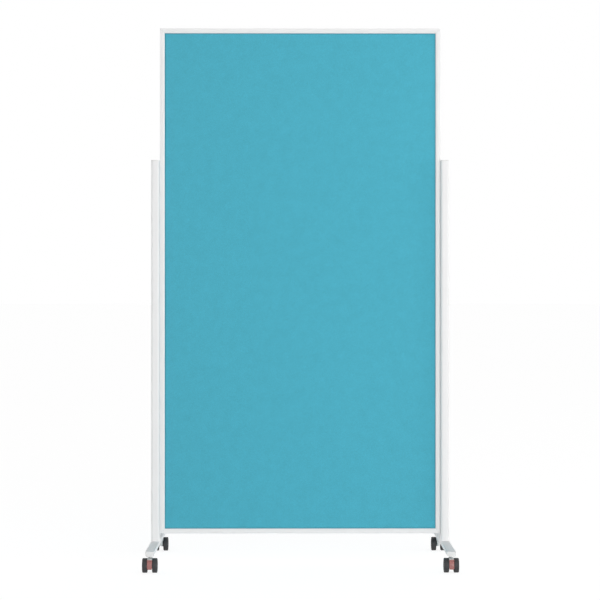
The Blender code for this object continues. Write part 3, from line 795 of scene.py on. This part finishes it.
def post_ring(stand, size, inset, height):
    """Return a post's outline, drawn in by inset, at a height."""
    radius = stand.post_radius - inset
    outline = rounded_rectangle(size.x - 2 * inset, size.y - 2 * inset, radius, radius)
    return [(x, y, height) for x, y in outline]


class PINBOARD_OT_posts(bpy.types.Operator):
    """Make the two hollow posts with their bolt and access holes"""

    bl_idname = "pinboard.posts"
    bl_label = "Posts"

    def execute(self, context):
        stand = context.scene.pinboard_stand
        for side, sign in SIDES.items():
            node = "post_" + side
            low, high = corners_of(node)
            size = high - low
            outer = [post_ring(stand, size, 0, height) for height in (low.z, high.z)]
            inner = [post_ring(stand, size, stand.wall, height) for height in (low.z, high.z)]
            reach = size.x / 2 + CUT_OVERRUN
            depth = size.x / 2 - stand.wall - CUT_OVERRUN
            holes = []
            for level in LEVELS:
                centre = (0, 0, centre_of(f"board_bolt_{side}_{level}").z)
                inside = sorted((-sign * depth, -sign * reach))
                outside = sorted((sign * depth, sign * reach))
                holes.append(rod("bolt_hole", stand.bolt_hole, *inside, along_x, centre))
                holes.append(rod("access_hole", stand.access_hole, *outside, along_x, centre))
            mesh = combined(node, pipe(node, outer, inner), cut=holes)
            dress_stand("coated", mesh, "white_coated_aluminium", node)
        return {"FINISHED"}


class PINBOARD_OT_caps(bpy.types.Operator):
    """Make the caps on the posts and the plugs in their access holes"""

    bl_idname = "pinboard.caps"
    bl_label = "Caps and plugs"

    def execute(self, context):
        stand = context.scene.pinboard_stand
        spigot = stand.wall + FIT_GAP
        pocket = spigot + stand.wall
        for side, sign in SIDES.items():
            node = "post_cap_" + side
            low, high = corners_of(node)
            size = high - low
            under = corners_of(f"post_{side}")[1].z + FIT_GAP
            steps = [(pocket, under), (pocket, low.z), (spigot, low.z), (spigot, under)]
            steps += [(FIT_GAP, under)] + soft_edge(high.z, stand.cap_edge)
            rings = [post_ring(stand, size, inset, height) for inset, height in steps]
            dress_stand("moulded", loft(node, rings), "white_plastic", node)
            for level in LEVELS:
                self.plug(stand, side, sign, level)
        return {"FINISHED"}

    def plug(self, stand, side, sign, level):
        """Make one push-in plug, flush with the post's outer side."""
        radius = stand.access_hole - FIT_GAP
        edge = FIT_GAP
        shell = stand.wall / 2
        depth = 2 * stand.wall
        inner = radius - shell
        profile = [
            (0, 0), (0, radius - edge), (-edge, radius), (-stand.wall - edge, radius),
            (-depth, inner), (-depth, inner - shell), (-shell, inner - shell), (-shell, 0),
        ]
        mesh = turned("plug", profile, SMALL_STEPS, along_x)
        low, high = corners_of(f"post_{side}")
        face = sign * max(abs(low.x), abs(high.x))
        height = centre_of(f"board_bolt_{side}_{level}").z
        mesh.transform(Matrix.Translation((face, 0, height)) @ facing(sign))
        dress(f"access_plug_{side}_{level}", mesh, "stand", "white_plastic")


def foot_ring(stand, size, middle, inset, place):
    """Return a foot's outline, drawn in by inset, at a place along Y."""
    top_radius = max(stand.top_radius - inset, stand.cap_edge)
    bottom_radius = max(stand.bottom_radius - inset, stand.cap_edge)
    outline = rounded_rectangle(size.x - 2 * inset, size.z - 2 * inset, top_radius, bottom_radius)
    return [(x, place, middle + z) for x, z in outline]


class PINBOARD_OT_feet(bpy.types.Operator):
    """Make the two foot tubes and the inserts that close their ends"""

    bl_idname = "pinboard.feet"
    bl_label = "Feet"

    def execute(self, context):
        stand = context.scene.pinboard_stand
        for side in SIDES:
            node = "foot_" + side
            low, high = corners_of(node)
            size = high - low
            middle = (low.z + high.z) / 2
            places = (low.y, high.y)
            outer = [foot_ring(stand, size, middle, 0, place) for place in places]
            inner = [foot_ring(stand, size, middle, stand.wall, place) for place in places]
            below = (low.z - CUT_OVERRUN, low.z + stand.wall + CUT_OVERRUN)
            above = (high.z - stand.wall - CUT_OVERRUN, high.z + CUT_OVERRUN)
            holes = []
            for end in ENDS:
                bolt = centre_of(f"post_bolt_{side}_{end}")
                stem = centre_of(f"caster_{side}_{end}_stem")
                centre = (0, bolt.y, 0)
                holes.append(rod("bolt_hole", stand.bolt_hole, *above, along_z, centre))
                holes.append(rod("access_hole", stand.access_hole, *below, along_z, centre))
                radius = self.stem_hole(side, end)
                holes.append(rod("stem_hole", radius, *below, along_z, (0, stem.y, 0)))
            mesh = combined(node, pipe(node, outer, inner), cut=holes)
            dress_stand("coated", mesh, "white_coated_steel", node)
            for end in ENDS:
                self.insert(stand, size, middle, side, end)
        return {"FINISHED"}

    def stem_hole(self, side, end):
        """Return the radius of the hole round a caster's stem."""
        return size_of(f"caster_{side}_{end}_stem").x / 2 + FIT_GAP

    def insert(self, stand, size, middle, side, end):
        """Make one insert: a cap with softened edges and the spigot behind it."""
        node = f"foot_end_{side}_{end}"
        low, high = corners_of(node)
        sign = ENDS[end]
        face = high.y if sign > 0 else -low.y
        inside = low.y if sign > 0 else -high.y
        shoulder = corners_of(f"foot_{side}")[1].y + FIT_GAP
        spigot = stand.wall + FIT_GAP
        steps = soft_edge(face, stand.cap_edge)[::-1]
        steps += [(0, shoulder), (spigot, shoulder), (spigot, inside)]
        rings = [foot_ring(stand, size, middle, inset, place) for inset, place in steps]
        stem = abs(centre_of(f"caster_{side}_{end}_stem").y)
        radius = self.stem_hole(side, end)
        span = (low.z - CUT_OVERRUN, high.z + CUT_OVERRUN)
        hole = rod("stem_hole", radius, *span, along_z, (0, stem, 0))
        mesh = combined(node, loft(node, rings), cut=[hole])
        dress_stand("moulded", mesh, "white_plastic", node, sign)


def caster_places():
    """Yield each caster's name, the sign of X on its outer side before its turn, and its place."""
    for side, side_sign in SIDES.items():
        for end, end_sign in ENDS.items():
            name = f"caster_{side}_{end}"
            axle = centre_of(name + "_axle")
            yield name, side_sign * end_sign, Matrix.Translation(axle) @ facing(end_sign)


def radial_bars():
    """Return the node tree that sets flat bars round X, from an inner to an outer radius."""
    label = "Radial bars"
    if label in bpy.data.node_groups:
        return bpy.data.node_groups[label]
    tree = bpy.data.node_groups.new(label, "GeometryNodeTree")
    tree.interface.new_socket("Geometry", in_out="OUTPUT", socket_type="NodeSocketGeometry")
    tree.interface.new_socket("Count", in_out="INPUT", socket_type="NodeSocketInt")
    for name in ("First", "Step", "Inner", "Outer", "Width", "Thickness"):
        tree.interface.new_socket(name, in_out="INPUT", socket_type="NodeSocketFloat")
    tree.interface.new_socket("Material", in_out="INPUT", socket_type="NodeSocketMaterial")
    given = add_node(tree, "NodeGroupInput").outputs
    length = add_node(
        tree, "ShaderNodeMath", links={0: given["Outer"], 1: given["Inner"]}, operation="SUBTRACT"
    )
    size = add_node(
        tree, "ShaderNodeCombineXYZ",
        links={"X": given["Width"], "Y": length, "Z": given["Thickness"]}
    )
    bar = add_node(tree, "GeometryNodeMeshCube", links={"Size": size})
    middle = add_node(
        tree, "ShaderNodeMath", {1: 0.5}, {0: length, 2: given["Inner"]}, operation="MULTIPLY_ADD"
    )
    offset = add_node(tree, "ShaderNodeCombineXYZ", links={"Y": middle})
    seated = add_node(tree, "GeometryNodeTransform", links={"Geometry": bar, "Translation": offset})
    points = add_node(tree, "GeometryNodePoints", links={"Count": given["Count"]})
    index = add_node(tree, "GeometryNodeInputIndex")
    angle = add_node(
        tree, "ShaderNodeMath", links={0: index, 1: given["Step"], 2: given["First"]},
        operation="MULTIPLY_ADD"
    )
    turn = add_node(tree, "ShaderNodeCombineXYZ", links={"X": angle})
    rotation = add_node(tree, "FunctionNodeEulerToRotation", links={"Euler": turn})
    ring = add_node(
        tree, "GeometryNodeInstanceOnPoints",
        links={"Points": points, "Instance": seated, "Rotation": rotation}
    )
    real = add_node(tree, "GeometryNodeRealizeInstances", links={"Geometry": ring})
    finished = add_node(
        tree, "GeometryNodeSetMaterial", links={"Geometry": real, "Material": given["Material"]}
    )
    add_node(tree, "NodeGroupOutput", links={"Geometry": finished})
    return tree


def grown(name, tree, inputs):
    """Return the plain mesh that a node tree grows from its named inputs."""
    seed = placed(name, bpy.data.meshes.new(name))
    modifier = seed.modifiers.new("Grow", "NODES")
    modifier.node_group = tree
    sockets = {
        item.name: item.identifier for item in tree.interface.items_tree
        if item.item_type == "SOCKET" and item.in_out == "INPUT"
    }
    for label, value in inputs.items():
        modifier[sockets[label]] = value
    mesh = evaluated_mesh(seed, name)
    bpy.data.objects.remove(seed, do_unlink=True)
    return mesh


def joined_meshes(name, meshes):
    """Return one mesh that holds the given meshes as separate bodies."""
    bm = bmesh.new()
    for mesh in meshes:
        bm.from_mesh(mesh)
    return to_mesh(bm, name)


class PINBOARD_OT_wheels(bpy.types.Operator):
    """Make the casters' wheels: ribbed disc with its hub, and the tread round it"""

    bl_idname = "pinboard.wheels"
    bl_label = "Wheels"

    def execute(self, context):
        caster = context.scene.pinboard_caster
        disc = self.disc(caster)
        tread = self.tread(caster)
        middle = (caster.space + caster.wheel_width) / 2
        soft = bpy.data.materials["moulded_polyurethane_tread"]
        for name, outward, place in caster_places():
            for label, sign in (("outer", outward), ("inner", -outward)):
                node = f"{name}_wheel_{label}"
                at = place @ Matrix.Translation((sign * middle, 0, 0)) @ facing(sign)
                dress(node + "_disc", moved(disc, at), node, "black_plastic", node)
                dress(node + "_tread", moved(tread, at), node, "black_plastic", material=soft)
        return {"FINISHED"}

    def disc(self, caster):
        """Return the moulded disc, dished towards +X and cored behind, with its spokes."""
        half = caster.wheel_width / 2
        outer = caster.wheel_radius - caster.tread
        rim = outer - DISC_WALL
        dish = half - DISH_DEPTH
        behind = dish - DISC_WALL
        groove = dish - GROOVE_DEPTH
        drum_end = -half - caster.drum_reach
        soft = DISC_EDGE
        profile = rounded([
            (dish + HUB_RISE, 0, 0),
            (dish + HUB_RISE, HUB_EDGE[0], soft),
            (dish, HUB_EDGE[1], soft),
            (dish, DISH_GROOVE[0], soft),
            (groove, DISH_GROOVE[1], 0),
            (groove, DISH_GROOVE[2], 0),
            (dish, DISH_GROOVE[3], soft),
            (dish, outer - DISH_END[0], soft),
            (half - soft, outer - DISH_END[1], soft),
            (half - soft, outer, soft),
            (-half + soft, outer, soft),
            (-half + soft, rim, soft),
            (behind, rim, soft),
            (behind, caster.drum, soft),
            (drum_end, caster.drum, 2 * soft),
            (drum_end, BORE_RADIUS, 0),
            (groove, BORE_RADIUS, 0),
            (groove, 0, 0),
        ], EDGE_STEPS)
        turned_disc = turned("wheel_disc", profile, WHEEL_STEPS, along_x)
        spokes = grown("wheel_spokes", radial_bars(), {
            "Count": caster.spokes, "First": 0.0, "Step": math.tau / caster.spokes,
            "Inner": caster.drum - soft, "Outer": rim + soft,
            "Width": half + behind - SPOKE_INSET, "Thickness": RIB_THICKNESS,
            "Material": finishes()["black_plastic"],
        })
        spokes.transform(Matrix.Translation(((behind - half + SPOKE_INSET) / 2, 0, 0)))
        return joined_meshes("wheel_disc", [turned_disc, spokes])

    def tread(self, caster):
        """Return the tread, a soft band moulded round the disc."""
        half = caster.wheel_width / 2
        outer = caster.wheel_radius
        inner = outer - caster.tread
        edge = caster.tread_edge
        groove = caster.groove
        profile = rounded([
            (half - groove, inner, 0),
            (half, inner + groove, 0),
            (half, outer, edge),
            (-half, outer, edge),
            (-half, inner + groove, 0),
            (groove - half, inner, 0),
        ], TREAD_STEPS)
        return turned("wheel_tread", profile, WHEEL_STEPS, along_x)


def side_extrusion(name, outline, left, right):
    """Extrude an outline of (Y, Z) points along X."""
    return prism(name, [outline], lambda y, z: (left, y, z), lambda y, z: (right, y, z))


class PINBOARD_OT_bodies(bpy.types.Operator):
    """Make the casters' moulded bodies and turned stems"""

    bl_idname = "pinboard.bodies"
    bl_label = "Caster bodies and stems"

    def execute(self, context):
        caster = context.scene.pinboard_caster
        body = self.body(caster)
        stem = self.stem(caster)
        for name, _, place in caster_places():
            dress(
                name + "_moulded_body", moved(body, place), name, "pale_grey_plastic",
                name + "_body", bevel=BODY_EDGE
            )
            dress(
                name + "_turned_stem", moved(stem, place), "stand", "plated_steel",
                name + "_stem"
            )
        return {"FINISHED"}

    def body(self, caster):
        """Return the body: crown over the wheels, boss round the stem, web and hub sleeve."""
        half = caster.space / 2 - FIT_GAP
        core = half - caster.drum_reach
        stem_place = (0, -caster.trail, 0)
        head = caster.crown - caster.crown_wall / 2
        profile = [
            (BOSS_BOTTOM, 0), (BOSS_BOTTOM, caster.boss - BOSS_EDGE),
            (BOSS_BOTTOM + BOSS_EDGE, caster.boss), (head, caster.boss), (head, 0),
        ]
        boss = moved(turned("boss", profile, SMALL_STEPS, along_z), Matrix.Translation(stem_place))
        foot = (BORE_RADIUS + SLEEVE_RADIUS) / 2
        start = LEVER_TOP + FIT_GAP / foot
        outline = arc((0, 0), head, start, QUARTER, 2 * ARC_STEPS)
        outline += [(-caster.trail, head), (-caster.trail, -foot)]
        outline += arc((0, 0), foot, -QUARTER, start, 2 * ARC_STEPS)
        web_half = core - caster.cheek - FIT_GAP
        web = side_extrusion("web", outline, -web_half, web_half)
        hub = rod("hub", SLEEVE_RADIUS, -core, core, along_x)
        reach = half + CUT_OVERRUN
        axle_hole = rod("axle_hole", BORE_RADIUS, -reach, reach, along_x)
        top = (caster.crown - STEM_HOLE_DEPTH, caster.crown + CUT_OVERRUN)
        stem_hole = rod("stem_hole", STEM_HOLE_RADIUS, *top, along_z, stem_place)
        joined = [boss, web, hub]
        return combined("caster_body", self.crown(caster), joined, [axle_hole, stem_hole])

    def crown(self, caster):
        """Return the crown, curved over the wheels and rounded behind the stem."""
        half = caster.space / 2 - FIT_GAP
        inner = caster.crown - caster.crown_wall
        start = LEVER_TOP + FIT_GAP / inner
        back = -half - caster.trail
        outline = arc((0, 0), caster.crown, start, QUARTER, 2 * ARC_STEPS)
        outline += [(back, caster.crown), (back, inner)]
        outline += arc((0, 0), inner, QUARTER, start, 2 * ARC_STEPS)
        bm = bmesh.new()
        bm.from_mesh(side_extrusion("crown", outline, -half, half))
        upright = [
            edge for edge in bm.edges
            if all(vertex.co.y < back + FIT_GAP for vertex in edge.verts)
            and abs(edge.verts[0].co.z - edge.verts[1].co.z) > FIT_GAP
        ]
        bmesh.ops.bevel(
            bm, geom=upright, offset=half - CROWN_FLAT, segments=ARC_STEPS, profile=0.5,
            affect="EDGES"
        )
        return to_mesh(bm, "crown")

    def stem(self, caster):
        """Return the stem, stepped and chamfered, about the axle's place."""
        low, high = corners_of("caster_left_rear_stem")
        axle = centre_of("caster_left_rear_axle")
        bottom = low.z - axle.z
        top = high.z - axle.z
        seat = caster.crown + FIT_GAP
        chamfer = 1 * MM
        radius = (high.x - low.x) / 2
        pin = radius - chamfer
        profile = [
            (bottom, 0), (bottom, pin - chamfer), (bottom + chamfer, pin), (seat, pin),
            (seat, radius - chamfer / 4), (seat + chamfer / 4, radius), (top - chamfer, radius),
            (top, radius - chamfer), (top, 0),
        ]
        mesh = turned("caster_stem", profile, SMALL_STEPS, along_z)
        mesh.transform(Matrix.Translation((0, -caster.trail, 0)))
        return mesh


class PINBOARD_OT_levers(bpy.types.Operator):
    """Make the brake levers: ridged pad with its toe ledge, and two cheeks"""

    bl_idname = "pinboard.levers"
    bl_label = "Brake levers"

    def execute(self, context):
        caster = context.scene.pinboard_caster
        lever = self.lever(caster)
        for name, _, place in caster_places():
            dress(
                name + "_moulded_lever", moved(lever, place), name + "_brake", "red_plastic",
                name + "_brake_lever", bevel=LEVER_EDGE
            )
        return {"FINISHED"}

    def lever(self, caster):
        """Return the lever about the axle's place."""
        half = caster.space / 2 - FIT_GAP
        core = half - caster.drum_reach
        outer = caster.pad
        inner = outer - PAD_WALL
        lower = LEVER_BOTTOM + CHEEK_LOW_END / outer
        upper = LEVER_TOP - CHEEK_HIGH_END / outer
        cheek = arc((0, 0), (inner + outer) / 2, lower, upper, 3 * ARC_STEPS)
        cheek += arc((0, 0), RING_RADIUS, upper, lower + math.tau, 4 * ARC_STEPS)
        cheeks = []
        for sign in (-1, 1):
            faces = sorted((sign * core, sign * (core - caster.cheek)))
            cheeks.append(side_extrusion("cheek", cheek, *faces))
        reach = half + CUT_OVERRUN
        ring_hole = rod("ring_hole", RING_HOLE_RADIUS, -reach, reach, along_x)
        depth = RING_RADIUS + CUT_OVERRUN
        opening = [(0, -SNAP_HALF), (0, SNAP_HALF), (-depth, SNAP_HALF), (-depth, -SNAP_HALF)]
        snap = side_extrusion("snap_opening", opening, -reach, reach)
        plain = combined("brake_lever", self.pad(inner, outer, half), cheeks, [ring_hole, snap])
        ridges = grown("lever_ridges", radial_bars(), {
            "Count": caster.ridges, "First": RIDGE_FIRST,
            "Step": RIDGE_SPREAD / (caster.ridges - 1), "Inner": outer - RIDGE_ROOT,
            "Outer": outer + RIDGE_HEIGHT, "Width": 2 * (half - RIDGE_INSET),
            "Thickness": RIB_THICKNESS, "Material": finishes()["red_plastic"],
        })
        return joined_meshes("brake_lever", [plain, ridges])

    def pad(self, inner, outer, half):
        """Return the curved pad, with its toe ledge above and rounded corners below."""
        steps = [(angle, LEDGE_RADIUS, half) for angle in (LEVER_TOP, LEVER_LEDGE)]
        count = 3 * ARC_STEPS
        fall = LEVER_BOTTOM + PAD_CORNER / outer - LEVER_LEDGE_ROOT
        for step in range(count):
            steps.append((LEVER_LEDGE_ROOT + fall * step / count, outer, half))
        for across, down in arc((0, 0), PAD_CORNER, 0, QUARTER, ARC_STEPS):
            angle = LEVER_BOTTOM + (PAD_CORNER - down) / outer
            steps.append((angle, outer, half - PAD_CORNER + across))
        rings = []
        for angle, top, side in steps:
            corners = [(-side, inner), (side, inner), (side, top), (-side, top)]
            ring = [(x, radius * math.cos(angle), radius * math.sin(angle)) for x, radius in corners]
            rings.append(ring)
        return loft("lever_pad", rings)


# Studio: the floor's paleness for the light it returns, and its paleness and glow as seen
FLOOR_REACH = 400
FLOOR_RETURN = 0.85
FLOOR_SHADE = 0.28
FLOOR_GLOW = 0.855
SOFTBOX_SIZE = 4.0
SOFTBOX_AIM = (0, 0, 0.95)
SENSOR_WIDTH = 36


class PINBOARD_OT_stage(bpy.types.Operator):
    """Set the floor, the lights, the world and the camera"""

    bl_idname = "pinboard.stage"
    bl_label = "Studio"

    def execute(self, context):
        studio = context.scene.pinboard_studio
        self.floor()
        self.world(studio)
        self.lights(studio)
        self.camera(studio)
        context.scene.view_settings.view_transform = "Standard"
        return {"FINISHED"}

    def floor(self):
        """Lay a wide white floor that keeps the board's soft shadow."""
        bm = bmesh.new()
        corners = [(-1, -1), (1, -1), (1, 1), (-1, 1)]
        bm.faces.new([bm.verts.new((x * FLOOR_REACH, y * FLOOR_REACH, 0)) for x, y in corners])
        mesh = to_mesh(bm, "studio_floor")
        floor = placed("studio_floor", mesh)
        material = bpy.data.materials.new("white_studio_floor")
        material.use_nodes = True
        tree = material.node_tree
        seen = self.seen_directly(tree)
        ends = {"A": (*[FLOOR_RETURN] * 3, 1), "B": (*[FLOOR_SHADE] * 3, 1)}
        shade = add_node(tree, "ShaderNodeMix", ends, {"Factor": seen}, data_type="RGBA")
        matt = add_node(tree, "ShaderNodeBsdfDiffuse", links={"Color": shade.outputs["Result"]})
        strength = add_node(
            tree, "ShaderNodeMath", {1: FLOOR_GLOW}, {0: seen}, operation="MULTIPLY"
        )
        glow = add_node(tree, "ShaderNodeEmission", {"Color": (1, 1, 1, 1)}, {"Strength": strength})
        both = add_node(tree, "ShaderNodeAddShader", links={0: matt, 1: glow})
        feed(tree, tree.nodes["Material Output"], {"Surface": both})
        mesh.materials.append(material)

    def seen_directly(self, tree):
        """Return 1 for what the camera sees itself, in a reflection or through a clear piece."""
        path = add_node(tree, "ShaderNodeLightPath").outputs
        total = path["Is Camera Ray"]
        for kind in ("Is Glossy Ray", "Is Transmission Ray"):
            total = add_node(
                tree, "ShaderNodeMath", links={0: total, 1: path[kind]}, operation="ADD",
                use_clamp=True
            ).outputs[0]
        return total

    def world(self, studio):
        """Show white behind the board, and light it from pale walls and a dimmer ceiling."""
        world = bpy.data.worlds.new("studio_world")
        bpy.context.scene.world = world
        world.use_nodes = True
        tree = world.node_tree
        background = tree.nodes["Background"]
        background.inputs["Color"].default_value = (1, 1, 1, 1)
        direction = add_node(tree, "ShaderNodeTexCoord").outputs["Object"]
        height = add_node(tree, "ShaderNodeSeparateXYZ", links={"Vector": direction})
        room = add_node(
            tree, "ShaderNodeMapRange",
            {"From Max": 0.5, "To Min": studio.walls, "To Max": studio.ceiling},
            {"Value": height.outputs["Z"]}
        )
        strength = add_node(
            tree, "ShaderNodeMix", {"B": 1.0}, {"Factor": self.seen_directly(tree), "A": room}
        )
        feed(tree, background, {"Strength": strength.outputs["Result"]})

    def lights(self, studio):
        """Set a large soft light in front on the right and one level with the right side."""
        self.softbox("front_softbox", studio.key_power, place=(2.6, -7.8, 1.3))
        self.softbox("side_softbox", studio.side_power, place=(7.5, -1.2, 1.0))

    def softbox(self, name, power, place):
        """Set one square light that faces the board's middle."""
        light = bpy.data.lights.new(name, "AREA")
        light.shape = "SQUARE"
        light.size = SOFTBOX_SIZE
        light.energy = power
        self.aim(placed(name, light), place, SOFTBOX_AIM)

    def aim(self, piece, place, target):
        """Set a lamp or a camera at a place, and point it at a target."""
        piece.location = place
        sight = Vector(target) - piece.location
        piece.rotation_euler = sight.to_track_quat("-Z", "Y").to_euler()

    def camera(self, studio):
        """Look level along +Y from the photograph's place."""
        data = bpy.data.cameras.new("product_camera")
        data.lens = studio.lens
        data.sensor_width = SENSOR_WIDTH
        camera = placed("product_camera", data)
        place = (-studio.camera_left, -studio.camera_distance, studio.camera_height)
        self.aim(camera, place, (-studio.aim_left, 0, studio.aim_height))
        bpy.context.scene.camera = camera


OPERATORS = (
    PINBOARD_OT_stage,
    PINBOARD_OT_panels,
    PINBOARD_OT_inner,
    PINBOARD_OT_frame,
    PINBOARD_OT_posts,
    PINBOARD_OT_caps,
    PINBOARD_OT_feet,
    PINBOARD_OT_wheels,
    PINBOARD_OT_bodies,
    PINBOARD_OT_levers,
)


class PINBOARD_PT_looks(bpy.types.Panel):
    """Sidebar panel that lists the operators"""

    bl_idname = "PINBOARD_PT_looks"
    bl_label = "Mobile pinboard"
    bl_space_type = "VIEW_3D"
    bl_region_type = "UI"
    bl_category = "Pinboard"

    def draw(self, context):
        for operator in OPERATORS:
            self.layout.operator(operator.bl_idname)
        for group in GROUPS:
            settings = getattr(context.scene, group)
            for name in settings.__annotations__:
                self.layout.prop(settings, name)


def register():
    """Register the classes and hang the settings on the scene."""
    for group, settings in GROUPS.items():
        bpy.utils.register_class(settings)
        setattr(bpy.types.Scene, group, bpy.props.PointerProperty(type=settings))
    for operator in OPERATORS:
        bpy.utils.register_class(operator)
    bpy.utils.register_class(PINBOARD_PT_looks)


def unregister():
    """Undo what register did."""
    bpy.utils.unregister_class(PINBOARD_PT_looks)
    for operator in reversed(OPERATORS):
        bpy.utils.unregister_class(operator)
    for group, settings in reversed(GROUPS.items()):
        delattr(bpy.types.Scene, group)
        bpy.utils.unregister_class(settings)


def main():
    """Register the classes and make every piece."""
    register()
    for operator in OPERATORS:
        category, name = operator.bl_idname.split(".")
        getattr(getattr(bpy.ops, category), name)()


if __name__ == "__main__":
    main()
